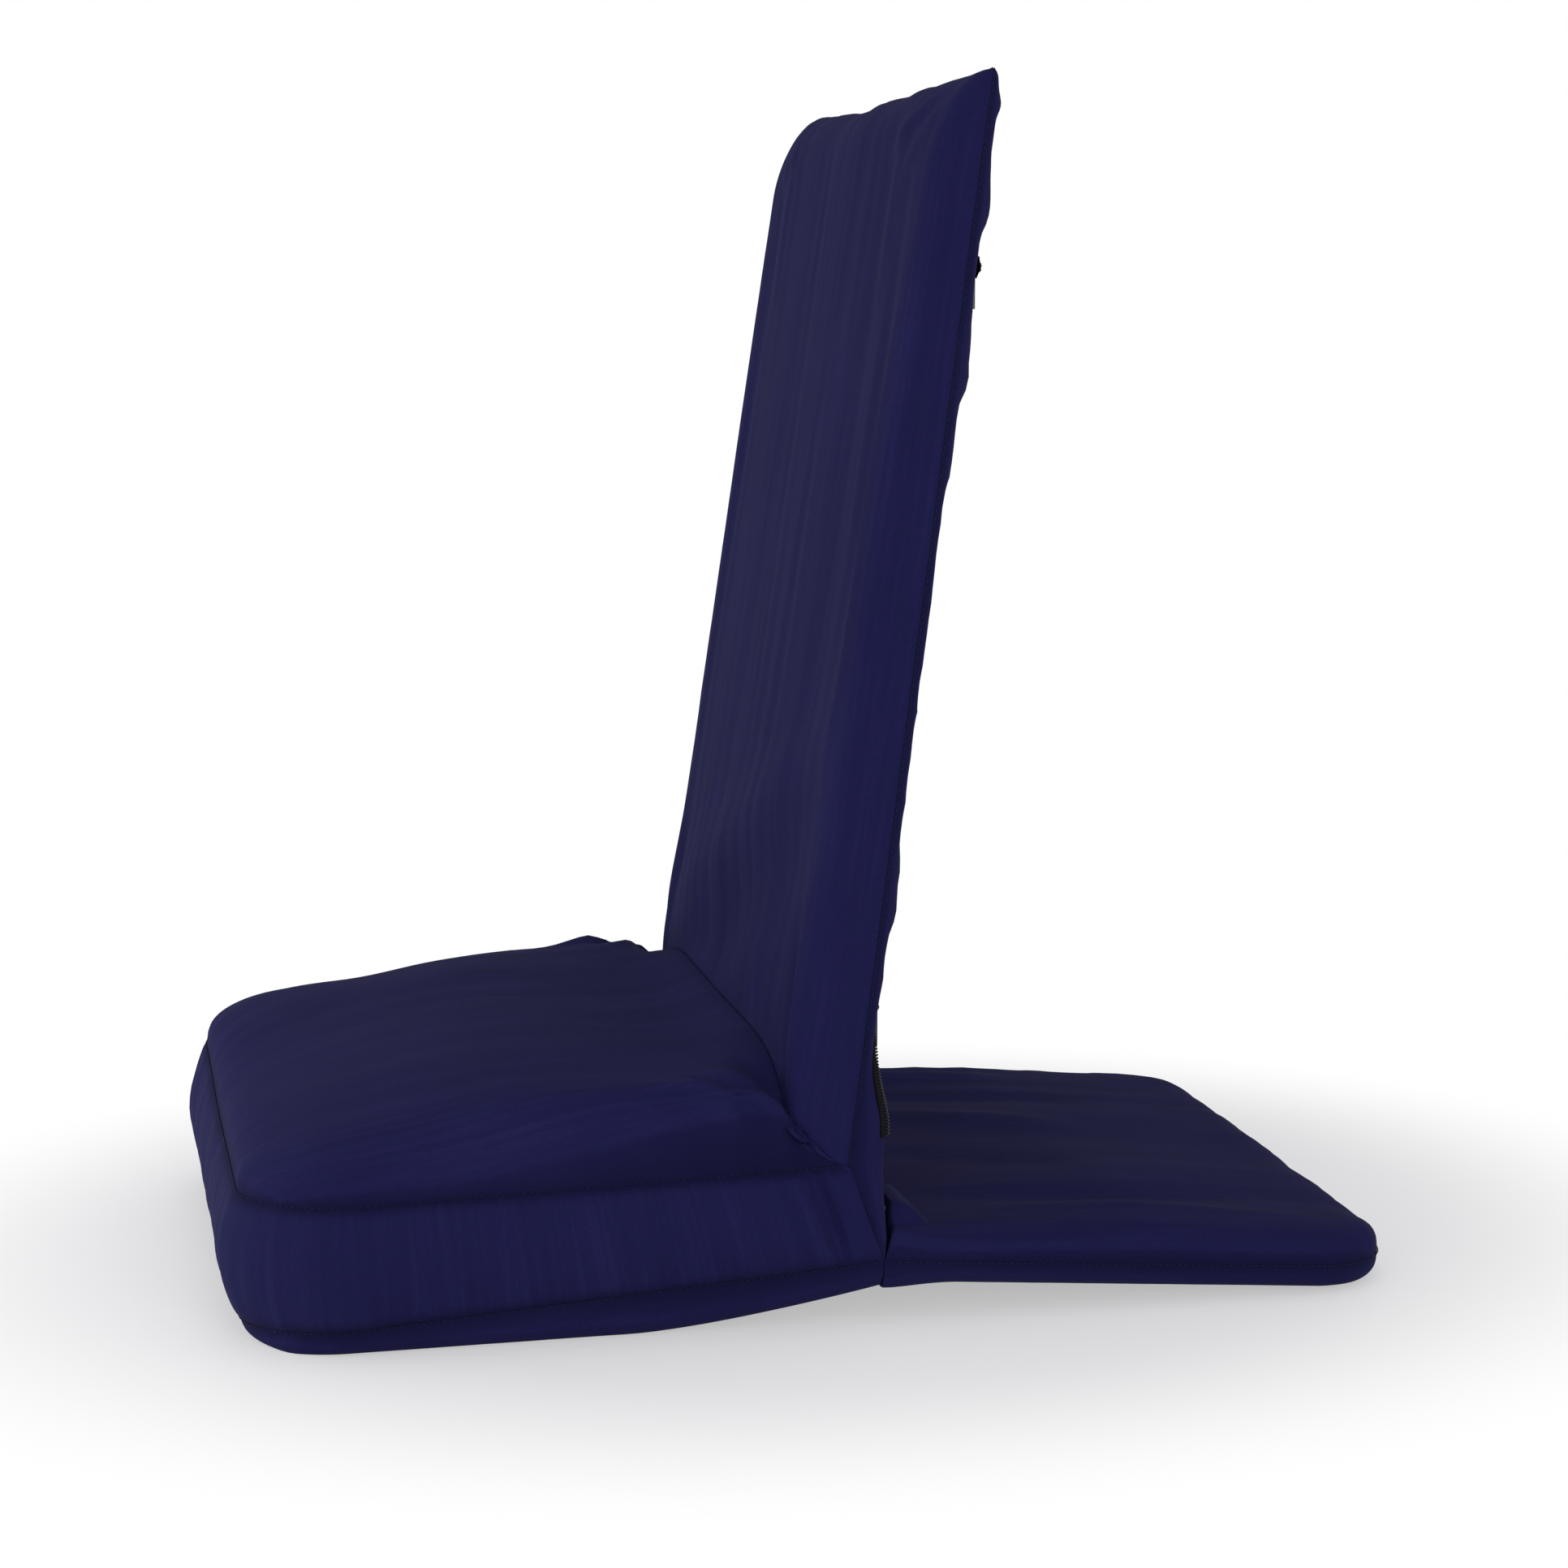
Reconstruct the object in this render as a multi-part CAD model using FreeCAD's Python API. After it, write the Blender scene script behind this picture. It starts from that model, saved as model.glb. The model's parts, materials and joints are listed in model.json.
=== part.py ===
import FreeCAD, Part
import math
import os

from FreeCAD import Placement, Rotation, Vector

# Folding floor chair: a sewn cover with three chambers, a thick seat, a thin
# backrest and a tail panel that lies on the floor behind the sitter.
# Millimetres. +X points back along the tail, +Y across, +Z up from the floor.
# The origin is on the floor, under the middle of the whole chair.

# Overall sizes
width = 400.0              # across all three chambers
seat_length = 323.0        # from the hub forward to the seat's front face
tail_length = 293.0        # from the hub back to the tail's end
back_length = 566.0        # along the backrest, from the hub seam to its top edge
recline = 7.4              # lean of the backrest from upright, in degrees
cloth = 2.0                # wall of the covers, seam allowance included
least_bow = 0.05           # a side that bows less is straight
soft_gap = 0.3             # air between a soft form and its neighbours
channel_gap = 0.5          # air round the tubes inside the padding
fit_gap = 0.1              # air between plain faces of the steel pieces

# Hub, where the three chambers meet
hub_lift = 18.0            # underside of the hub above the floor
hub_seam_z = 34.0          # lower side seam at the hub
hub_top_x = -19.0          # upper side seam at the hub, from the hub's middle
hub_top_z = 87.0
crease_x = -47.0           # fold line of the seat, from the hub's middle
crease_z = 151.0
pin_x = 8.5                # steel hinge pin of the tail, from the hub's middle
pin_z = 44.0

# Seat cushion
seat_corner_r = 50.0       # plan corners at the front
seat_crown = 60.0          # rise of the top above its side seam
crown_run = 290.0          # length over which the crown rises from the front
crown_power = 2.44         # how quickly it rises
seat_front_top_z = 78.0    # upper side seam at the front
seat_front_bottom_z = 11.0
seat_shoulder = 45.0       # width of the rounded shoulder beside the upper seam
rear_shoulder = 60.0       # the same at the rear, where the crown is drawn in
shoulder_swell = 0.2       # bulge of the shoulder as a share of its run
draw_from = 190.0          # the crown is drawn in from here behind the front
draw_to = 276.0
seat_haunch = 34.0         # width of the rounded edge below the lower seam
seat_side_bow = 4.0        # bulge of the boxing
floor_sink = 0.5           # depth by which the soft underside is pressed flat
seat_level_run = 190.0     # stretch of the underside that rests on the floor
foam_height = 56.0         # firm block, the soft crown lies over it

# Backrest
side_depth = 20.0          # straight side of the front panel, ahead of the seam
edge_round = 10.0          # rounded front edges
front_crown = 4.0          # swell of the front face
rear_slack = 6.0           # slack of the rear panel behind the seam
rear_round = 3.0           # its rounded edges, smaller than its slack
flare_top = 62.0           # height above the hub seam at which it swings out over the hinges
flare_full = 18.0          # height from which it hangs straight down
flare_reach = 22.0         # how far behind the hub's upper seam it hangs
corner_wide = 50.0         # at each side the backrest reaches down this wide, to the upper seam
top_dip = 7.0              # the top edge hangs between its pinched corners

# Tail
tail_top_z = 47.0          # top of the tail beside the hub
tail_mid_z = 41.0          # top at its middle
tail_end_top_z = 24.0
tail_end_seam_z = 13.0
tail_rim = 24.0            # width of its rounded side edges
tail_corner_r = 52.0
tail_end_round = 26.0      # length over which the rear edge rounds off

# Frames
tube_d = 16.0
tube_wall = 1.5
crossbar_d = 12.0
frame_inset = 20.0         # from the cover's side to the backrest's tube
tube_depth = 13.0          # tube centre ahead of the backrest's side seam
back_bend_r = 42.0
tail_bend_r = 40.0
frame_top_gap = 22.0       # tube's centre below the top edge
tube_foot = 42.0           # lower ends of the backrest's tube above the hub seam
back_bar_up = 96.0         # crossbar above the hub seam
tail_tube_z = 35.0         # tube centre beside the hub
tail_tube_end_z = 15.5
tail_tube_start = 22.0     # tube's front ends behind the pin
tail_end_gap = 24.0        # tube's centre ahead of the tail's end
tail_bar_back = 84.0       # crossbar behind the pin
strap_count = 4
strap_width = 38.0
strap_thick = 1.6
strap_first = 150.0        # lowest strap above the hub seam
strap_pitch = 105.0

# Hinges
plate = 3.0                # thickness of every hinge plate
disc_r = 11.5              # round end of a plate about the pin
strap_half = 8.0           # half width of a plate's arm
root_wide = 9.0           # width of the arm beside the pin
root_narrow = -4.5         # and on the side that faces the rear panel, short of the pin's middle
tail_root = 6.5            # and above and below on the tail's plate
plate_lead = 4.0           # straight part of the arm before the tube begins
washer = 1.0
washer_r = 7.0
bolt_r = 3.0
bolt_head_r = 5.5
bolt_head = 4.0
nut_across = 10.0
nut_high = 5.0
spring_disc = 1.2
spring_wide_r = 6.0
spring_top_r = 5.0
run_gap = 0.05             # running clearance of a pin in its bore
slot_path_r = 7.4          # radius of the stop slot about the pin
slot_half = 1.5
stop_angle = 225.0         # where the stop pin stands about the hinge pin
fold_angle = 86.0          # travel of the tail
rivet_r = 2.5
rivet_head_r = 4.5
rivet_head = 1.6
hinge_room_gap = 1.5       # air round the hinges inside the covers
rivet_margin = 6.0         # free padding beyond the last rivet
back_rivet_at = (8.0, 26.0)    # above the tube's foot
tail_rivet_at = (14.0, 34.0)   # behind the tube's front end

# Zips
zip_inset = 30.0           # from the cover's side to each end of the zip's teeth
zip_end = 6.0              # the slit runs on past the teeth
tape_end = 10.0            # and so does the tape
slider_start = 4.0         # slider at rest, from the end of the teeth
zip_tape = 26.0
zip_tape_thick = 0.6
zip_slit = 8.0
coil_wide = 5.0
coil_high = 2.6
upper_zip_drop = 98.0      # below the backrest's top edge
lower_zip_up = 78.0        # above the hub seam
slider_long = 9.0
slider_wide = 7.4
slider_high = 3.4
bail_r = 0.8               # bar on which the pull tab swings
bail_rise = 2.6            # bar's centre above the slider
bail_post = 1.2            # thickness of the two posts that hold it
pull_eye_r = 1.9
pull_eye_wide = 3.4
pull_long = 20.0
pull_wide = 6.0
pull_thick = 1.2

# Places worked out from the sizes
half = width / 2
zip_length = width - 2 * zip_inset
hub_x = (seat_length - tail_length) / 2
seat_front = hub_x - seat_length
tail_end = hub_x + tail_length
crease = (hub_x + crease_x, crease_z)
pin = (hub_x + pin_x, pin_z)
hub_bottom = (hub_x, hub_lift)
hub_top = (hub_x + hub_top_x, hub_top_z)
tube_r = tube_d / 2
far = 900.0                # reach of a cutting block beyond the chair
back_leg_y = half - frame_inset
back_plate_y = back_leg_y - tube_r - fit_gap
tail_plate_y = back_plate_y - plate - washer - 2 * fit_gap
tail_leg_y = tail_plate_y + fit_gap + tube_r
tail_slope = math.degrees(math.atan2(tail_tube_z - tail_tube_end_z, tail_length - pin_x - tail_end_gap))
lean = Placement(Vector(hub_top[0], 0, hub_top[1]), Rotation(Vector(0, 1, 0), recline))
lie = Placement(Vector(pin[0], 0, tail_tube_z), Rotation(Vector(0, 1, 0), tail_slope))


def along_back(depth, y, up):
    """Point given by its depth behind the back's side seam and its height along the back."""
    return lean.multVec(Vector(depth, y, up))


def block(x0, x1, y0, y1, z0, z1):
    """Box between two corners."""
    return Part.makeBox(x1 - x0, y1 - y0, z1 - z0, Vector(x0, y0, z0))


def stood(shape):
    """The shape moved from the backrest's own directions into place."""
    moved = shape.copy()
    moved.Placement = lean.multiply(moved.Placement)
    return moved


def laid(shape):
    """The shape moved from the tail frame's own directions into place."""
    moved = shape.copy()
    moved.Placement = lie.multiply(moved.Placement)
    return moved


def both_sides(shape):
    """A piece and its mirror image at the other side of the chair."""
    return Part.Compound([shape, shape.mirror(Vector(0, 0, 0), Vector(0, 1, 0))])


def outline(corners, bows, place, round_sides):
    """Closed outline whose sides bow outward, as arcs or, for what is hidden inside, as short straight runs."""
    edges = []
    for i, (a, b) in enumerate(corners):
        c, d = corners[(i + 1) % len(corners)]
        run = math.hypot(c - a, d - b)
        middle = ((a + c) / 2 + (d - b) / run * bows[i], (b + d) / 2 - (c - a) / run * bows[i])
        spots = [place(a, b), place(*middle), place(c, d)]
        if round_sides and abs(bows[i]) > least_bow:
            edges.append(Part.Arc(*spots).toShape())
        elif round_sides:
            edges.append(Part.LineSegment(spots[0], spots[2]).toShape())
        else:
            edges.append(Part.LineSegment(spots[0], spots[1]).toShape())
            edges.append(Part.LineSegment(spots[1], spots[2]).toShape())
    return Part.Wire(edges)


def lofted(rows):
    """Solid through a row of outlines, straight from each to the next."""
    return Part.makeLoft(rows, True, True)


def side_region(corners):
    """Prism across the whole width over an outline in the side view."""
    points = [Vector(x, -half - far, z) for x, z in corners]
    face = Part.Face(Part.makePolygon(points + points[:1]))
    return face.extrude(Vector(0, 2 * (half + far), 0))


def between(start, end, share):
    """Value a share of the way from start to end."""
    return start + (end - start) * share


def beside(line_from, line_to, gap):
    """The two points moved sideways by gap, to the right of the way from the first to the second."""
    dx = line_to[0] - line_from[0]
    dz = line_to[1] - line_from[1]
    run = math.hypot(dx, dz)
    shift = (dz / run * gap, -dx / run * gap)
    return [(x + shift[0], z + shift[1]) for x, z in (line_from, line_to)]


def stretched(line_from, line_to, before, after):
    """The line with its ends moved outward."""
    dx = line_to[0] - line_from[0]
    dz = line_to[1] - line_from[1]
    run = math.hypot(dx, dz)
    start = (line_from[0] - dx / run * before, line_from[1] - dz / run * before)
    end = (line_to[0] + dx / run * after, line_to[1] + dz / run * after)
    return start, end


def back_corners(inset):
    """Space at both sides where the backrest reaches down to the upper seam."""
    low = hub_top[1] + soft_gap / 2 + inset
    start = half - corner_wide + soft_gap / 2 + inset
    return both_sides(block(crease[0] - far, far, start, far, low, crease[1] + inset))


def seat_region(inset):
    """Space of the seat: ahead of the line from the crease down to the hub."""
    low, high = stretched(hub_bottom, crease, far, 0)
    low, high = beside(low, high, -soft_gap / 2 - inset)
    return side_region([low, high, (high[0], far), (-far, far), (-far, low[1])])


def seat_clear(solid, inset):
    """The seat without what the backrest takes at both sides."""
    face = -(side_depth + edge_round + front_crown) - soft_gap - inset
    top = crease[1] - hub_top[1] + far
    start = half - corner_wide - soft_gap / 2 - inset
    taken = stood(both_sides(block(face, far, start, far, -far, top)))
    above = block(-far, far, -far, far, hub_top[1] - soft_gap / 2 - inset, far)
    return solid.cut(taken.common(above))


def back_region(inset, open_rear):
    """Space of the backrest: behind that line, and in front of the tail below the pin."""
    front_low, front_high = beside(hub_bottom, crease, soft_gap / 2 + inset)
    rear_low, rear_high = beside(hub_bottom, pin, -soft_gap / 2 + open_rear)
    corner = meeting(front_low, front_high, rear_low, rear_high)
    middle = side_region([corner, rear_high, (rear_high[0] + far, pin[1] + far), (-far, pin[1] + far),
                          (-far, front_high[1]), front_high])
    return middle.fuse(back_corners(inset).Solids)


def meeting(a, b, c, d):
    """Point where the lines a-b and c-d cross."""
    d1 = (b[0] - a[0], b[1] - a[1])
    d2 = (d[0] - c[0], d[1] - c[1])
    cross = d1[0] * d2[1] - d1[1] * d2[0]
    share = ((c[0] - a[0]) * d2[1] - (c[1] - a[1]) * d2[0]) / cross
    return a[0] + d1[0] * share, a[1] + d1[1] * share


def tail_region():
    """Space of the tail: behind the line from the hub's underside to the pin."""
    low, high = stretched(hub_bottom, pin, far, 0)
    low, high = beside(low, high, soft_gap / 2)
    return side_region([low, (far, low[1]), (far, pin[1] + far / 2), (far / 2, pin[1] + far / 2), high])


def rounded_half(distance, radius, end_half):
    """Half width at a distance from a rounded end."""
    if distance >= radius:
        return end_half
    return end_half - radius + math.sqrt(radius ** 2 - (radius - distance) ** 2)


def crown_rise(distance):
    """Rise of the seat's crown at a distance behind its front face."""
    share = min(distance / crown_run, 1.0)
    return seat_crown * (1 - (1 - share) ** crown_power) ** (1 / crown_power)


def seat_section(distance, inset):
    """Outline of the seat across its width, at a distance behind its front face."""
    share = distance / seat_length
    wide = rounded_half(distance - inset, seat_corner_r - inset, half - inset)
    seam = between(seat_front_top_z, hub_top_z, share)
    low_seam = between(seat_front_bottom_z, hub_seam_z, share)
    top = seam + max(crown_rise(distance), 2 * cloth) - inset
    drawn = min(max((distance - draw_from) / (draw_to - draw_from), 0), 1)
    lift = max(distance - seat_level_run, 0) / (seat_length - seat_level_run)
    under = between(-floor_sink, hub_lift, lift ** 1.5) + inset
    shoulder = between(seat_shoulder, rear_shoulder, drawn) * (top - seam) / seat_crown
    haunch = seat_haunch
    corners = [(-wide + haunch, under), (wide - haunch, under), (wide, low_seam), (wide, seam),
               (wide - shoulder, between(seam, top, 0.93)), (-wide + shoulder, between(seam, top, 0.93)),
               (-wide, seam), (-wide, low_seam)]
    round_bow = shoulder_swell * math.hypot(shoulder, top - seam)
    under_bow = 0.16 * math.hypot(haunch, low_seam - under)
    bows = [0.3, under_bow, seat_side_bow, round_bow, between(seam, top, 1) - between(seam, top, 0.93) + 0.3,
            round_bow, seat_side_bow, under_bow]
    x = seat_front + distance
    return outline(corners, bows, lambda y, z: Vector(x, y, z), inset == 0)


def round_spots(radius, steps):
    """Distances from a rounded end at which its corners have turned by even steps."""
    return [radius * (1 - math.cos(math.radians(90 * (step + 1) / steps))) for step in range(steps)]


def seat_form(inset):
    """The seat's whole soft form, or the same a wall's thickness further in."""
    spots = round_spots(seat_corner_r, 6) + [80.0, 125.0, draw_from, 220.0, 250.0, draw_to, seat_length + 22.0]
    body = lofted([seat_section(spot, inset) for spot in [inset] + [spot for spot in spots if spot > 2 * inset]])
    floor_cut = block(-far, far, -far, far, inset, far)
    return seat_clear(body.common(seat_region(inset)).common(floor_cut), inset)


def seat_parts():
    """Top panel, boxing and bottom panel of the seat's cover, with the filling inside."""
    whole = seat_form(0)
    shell = whole.cut(seat_form(cloth))
    seam_line = [(seat_front - far, between(hub_top_z, seat_front_top_z, 1 + far / seat_length)),
                 (hub_x + far, between(seat_front_top_z, hub_top_z, 1 + far / seat_length))]
    low_line = [(seat_front - far, between(hub_seam_z, seat_front_bottom_z, 1 + far / seat_length)),
                (hub_x + far, between(seat_front_bottom_z, hub_seam_z, 1 + far / seat_length))]
    above = side_region(seam_line + [(hub_x + far, far), (seat_front - far, far)])
    below = side_region([(seat_front - far, -far), (hub_x + far, -far)] + low_line[::-1])
    top = shell.common(above)
    bottom = shell.common(below)
    boxing = shell.cut(above).cut(below)
    filling = seat_form(cloth + soft_gap)
    split = cloth + soft_gap + foam_height
    foam = filling.common(block(-far, far, -far, far, -far, split))
    wadding = filling.common(block(-far, far, -far, far, split + soft_gap, far))
    return {"seat_top_panel": top, "seat_boxing": boxing, "seat_bottom_panel": bottom,
            "seat_foam": foam, "seat_wadding": wadding}


def rear_depth(up):
    """How far the rear panel lies behind the side seam at a height above the hub seam."""
    share = min(max((flare_top - up) / (flare_top - flare_full), 0.0), 1.0)
    eased = share * share * (3 - 2 * share)
    hung = flare_reach - up * math.tan(math.radians(recline))
    return between(rear_slack, hung, eased)


def back_section(up, thin, inset):
    """Outline of the backrest square to its length."""
    wide = half - inset
    rear = rear_depth(up) * between(0.5, 1, thin) - inset
    ahead = -side_depth * thin
    face = -(side_depth + edge_round) * thin + inset
    round_in = edge_round * min(thin + 0.3, 1)
    rear_in = rear_round
    corners = [(rear, -wide + rear_in), (rear, wide - rear_in), (rear - rear_in * thin, wide), (ahead, wide),
               (face, wide - round_in), (face, -wide + round_in), (ahead, -wide), (rear - rear_in * thin, -wide)]
    bows = [0.3, 0.2 * rear_in, 0.4, 0.2 * round_in, front_crown * thin, 0.2 * round_in, 0.4, 0.2 * rear_in]
    return outline(corners, bows, lambda depth, y: Vector(depth, y, up), inset == 0)


def back_form(inset):
    """The backrest's soft form from below the hub to its pinched top edge."""
    top = back_length - inset
    straight = [-far / 6, flare_full] + [between(flare_full, flare_top, part / 5) for part in (1, 2, 3, 4, 5)]
    rows = [(up, 1.0) for up in straight] + [(top - 60.0, 1.0), (top - 28.0, 0.88), (top - 9.0, 0.6), (top, 0.3)]
    body = lofted([back_section(up, thin, inset) for up, thin in rows])
    dip_r = (half ** 2 + top_dip ** 2) / (2 * top_dip)
    dip = Part.makeCylinder(dip_r, 2 * far, Vector(-far, 0, top - top_dip + dip_r), Vector(1, 0, 0))
    return stood(body.cut(dip))


def leg_loop(leg_y, start, end, bend_r, across, along, radius):
    """Tube bent to a U: two legs and a bar, with legs along one direction and the bar across."""
    def spot(y, run):
        return across * y + along * run
    corner = bend_r * (1 - math.sqrt(0.5))
    edges = [Part.LineSegment(spot(-leg_y, start), spot(-leg_y, end - bend_r)).toShape(),
             Part.Arc(spot(-leg_y, end - bend_r), spot(-leg_y + corner, end - corner),
                      spot(-leg_y + bend_r, end)).toShape(),
             Part.LineSegment(spot(-leg_y + bend_r, end), spot(leg_y - bend_r, end)).toShape(),
             Part.Arc(spot(leg_y - bend_r, end), spot(leg_y - corner, end - corner),
                      spot(leg_y, end - bend_r)).toShape(),
             Part.LineSegment(spot(leg_y, end - bend_r), spot(leg_y, start)).toShape()]
    ring = Part.Face(Part.Wire(Part.makeCircle(radius, spot(-leg_y, start), along)))
    return Part.Wire(edges).makePipe(ring)


def back_tube(radius):
    """The backrest's tube in the backrest's own directions."""
    loop = leg_loop(back_leg_y, tube_foot, back_length - frame_top_gap, back_bend_r,
                    Vector(0, 1, 0), Vector(0, 0, 1), radius)
    loop.translate(Vector(-tube_depth, 0, 0))
    return loop


def tail_tube(radius):
    """The tail's tube in the tail frame's own directions."""
    end = (tail_length - pin_x - tail_end_gap) / math.cos(math.radians(tail_slope))
    return leg_loop(tail_leg_y, tail_tube_start, end, tail_bend_r, Vector(0, 1, 0), Vector(1, 0, 0), radius)


def crossbar(leg_y, place, outer, inner):
    """Straight tube between two legs, coped to sit against them."""
    bar = Part.makeCylinder(outer, 2 * leg_y, place - Vector(0, leg_y, 0), Vector(0, 1, 0))
    bore = Part.makeCylinder(inner, 2 * leg_y, place - Vector(0, leg_y, 0), Vector(0, 1, 0))
    return bar.cut(bore)


def strap(up, gap):
    """One webbing strap across the backrest's frame, looped round both legs."""
    wide = strap_width / 2 + gap
    hold = tube_r + fit_gap
    outer = hold + strap_thick
    band = block(-tube_depth - strap_thick / 2 - gap, -tube_depth + strap_thick / 2 + gap,
                 -back_leg_y + outer - strap_thick / 2, back_leg_y - outer + strap_thick / 2, up - wide, up + wide)
    loops = []
    for side in (-1, 1):
        foot = Vector(-tube_depth, side * back_leg_y, up - wide)
        loops.append(Part.makeCylinder(outer + gap, 2 * wide, foot, Vector(0, 0, 1)))
    body = band.fuse(loops)
    if gap:
        return body
    bores = [Part.makeCylinder(hold, 4 * wide, Vector(-tube_depth, side * back_leg_y, up - 2 * wide),
                               Vector(0, 0, 1)) for side in (-1, 1)]
    return body.cut(bores)


def strap_heights():
    """Heights of the webbing straps above the hub seam."""
    return [strap_first + i * strap_pitch for i in range(strap_count)]


def plate_shape(y0, arm_from, arm_to, thick, root_a, root_b):
    """Hinge plate: a disc about the pin with a tapered arm to the tube, root_a and root_b wide at the pin."""
    disc = Part.makeCylinder(disc_r, thick, Vector(pin[0], y0, pin[1]), Vector(0, 1, 0))
    near, end = Vector(*arm_from), Vector(*arm_to)
    way = (end - near).normalize()
    side = Vector(way.z, 0, -way.x)
    root = Vector(pin[0], 0, pin[1])
    points = [root + side * root_a, near + side * strap_half, end + side * strap_half,
              end - side * strap_half, near - side * strap_half, root - side * root_b]
    points = [Vector(p.x, y0, p.z) for p in points]
    arm = Part.Face(Part.makePolygon(points + points[:1])).extrude(Vector(0, thick, 0))
    cap = Part.makeCylinder(strap_half, thick, Vector(end.x, y0, end.z), Vector(0, 1, 0))
    return disc.fuse([arm, cap]).removeSplitter()


def stop_slot(y0, thick):
    """Curved slot about the pin in which the stop pin travels."""
    def spot(angle, radius):
        turn = math.radians(angle)
        return Vector(pin[0] + radius * math.cos(turn), y0, pin[1] + radius * math.sin(turn))
    first = stop_angle - fold_angle
    last = stop_angle
    middle = (first + last) / 2
    inner = slot_path_r - slot_half - run_gap
    outer = slot_path_r + slot_half + run_gap
    edges = [Part.Arc(spot(first, outer), spot(middle, outer), spot(last, outer)).toShape(),
             Part.LineSegment(spot(last, outer), spot(last, inner)).toShape(),
             Part.Arc(spot(last, inner), spot(middle, inner), spot(first, inner)).toShape(),
             Part.LineSegment(spot(first, inner), spot(first, outer)).toShape()]
    track = Part.Face(Part.Wire(edges)).extrude(Vector(0, thick, 0))
    ends = [Part.makeCylinder(slot_half + run_gap, thick, spot(angle, slot_path_r), Vector(0, 1, 0))
            for angle in (first, last)]
    return track.fuse(ends)


def rivet(foot, way, grip):
    """Rivet through a tube and its plate, with a domed head at each end."""
    shank = Part.makeCylinder(rivet_r, grip, foot, way)
    heads = [Part.makeCylinder(rivet_head_r, rivet_head, foot - way * rivet_head, way),
             Part.makeCylinder(rivet_head_r, rivet_head, foot + way * grip, way)]
    return shank.fuse(heads)


def back_rivet_spots():
    """Centres of the rivets on the backrest's legs."""
    return [along_back(-tube_depth, 0, tube_foot + rise) for rise in back_rivet_at]


def tail_rivet_spots():
    """Centres of the rivets on the tail's legs."""
    return [lie.multVec(Vector(tail_tube_start + run, 0, 0)) for run in tail_rivet_at]


def hinge_parts():
    """Plates, bolts, washers, springs, nuts, stop pins and rivets of both hinges."""
    axis = Vector(0, 1, 0)
    back_in = back_plate_y - plate
    tail_in = tail_plate_y - plate
    back_spots = back_rivet_spots()
    tail_spots = tail_rivet_spots()
    bolt_hole = Part.makeCylinder(bolt_r + run_gap, far, Vector(pin[0], 0, pin[1]), axis)
    back_start = along_back(-tube_depth, 0, tube_foot - plate_lead)
    tail_start = lie.multVec(Vector(tail_tube_start - plate_lead, 0, 0))
    back = plate_shape(back_in, tuple(back_start), tuple(back_spots[-1]), plate, root_narrow, root_wide)
    tail = plate_shape(tail_in, tuple(tail_start), tuple(tail_spots[-1]), plate, tail_root, tail_root)
    turn = math.radians(stop_angle)
    stop_at = Vector(pin[0] + slot_path_r * math.cos(turn), 0, pin[1] + slot_path_r * math.sin(turn))
    stop_hole = Part.makeCylinder(slot_half, plate, stop_at + axis * back_in, axis)
    holes = [Part.makeCylinder(rivet_r + run_gap, far, spot, axis) for spot in back_spots]
    back = back.cut([bolt_hole, stop_hole] + holes)
    tail_holes = [Part.makeCylinder(rivet_r + run_gap, far, spot, axis) for spot in tail_spots]
    tail = tail.cut([bolt_hole, stop_slot(tail_in, plate)] + tail_holes)
    stop_from = tail_in + plate / 3
    stop = Part.makeCylinder(slot_half, back_plate_y - stop_from, stop_at + axis * stop_from, axis)
    washer_y = tail_plate_y + fit_gap
    ring = Part.makeCylinder(washer_r, washer, Vector(pin[0], washer_y, pin[1]), axis)
    keep = Part.makeCylinder(slot_half + 2 * fit_gap, far, stop_at, axis)
    ring = ring.cut([bolt_hole, keep])
    spring_y = tail_in - fit_gap - spring_disc
    cone = Part.makeCone(spring_wide_r, spring_top_r, spring_disc, Vector(pin[0], spring_y, pin[1]), axis)
    cone = cone.cut(bolt_hole)
    nut_y = spring_y - fit_gap - nut_high
    flats = [Vector(pin[0] + nut_across / math.sqrt(3) * math.cos(math.radians(60 * i)), nut_y,
                    pin[1] + nut_across / math.sqrt(3) * math.sin(math.radians(60 * i))) for i in range(6)]
    nut = Part.Face(Part.makePolygon(flats + flats[:1])).extrude(axis * nut_high).cut(bolt_hole)
    head_y = back_plate_y + fit_gap
    bolt = Part.makeCylinder(bolt_r, head_y - nut_y, Vector(pin[0], nut_y, pin[1]), axis)
    bolt = bolt.fuse(Part.makeCylinder(bolt_head_r, bolt_head, Vector(pin[0], head_y, pin[1]), axis))
    grip = plate + fit_gap + tube_d
    back_pins = [rivet(spot + axis * back_in, axis, grip + fit_gap) for spot in back_spots]
    tail_pins = [rivet(spot + axis * tail_in, axis, grip + fit_gap) for spot in tail_spots]
    mirror = (Vector(0, 0, 0), Vector(0, 1, 0))
    return {"back_hinge_plate_left": back.mirror(*mirror), "back_hinge_plate_right": back,
            "tail_hinge_plate_left": tail.mirror(*mirror), "tail_hinge_plate_right": tail,
            "hinge_bolts": both_sides(bolt), "friction_washers": both_sides(ring),
            "disc_springs": both_sides(cone), "hinge_nuts": both_sides(nut), "stop_pins": both_sides(stop),
            "back_rivets": Part.Compound([both_sides(pin_shape) for pin_shape in back_pins]),
            "tail_rivets": Part.Compound([both_sides(pin_shape) for pin_shape in tail_pins])}


def rivet_bores(spots, radius):
    """Bores right across the chair at the rivets."""
    return [Part.makeCylinder(radius, 2 * half, Vector(spot.x, -half, spot.z), Vector(0, 1, 0)) for spot in spots]


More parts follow.
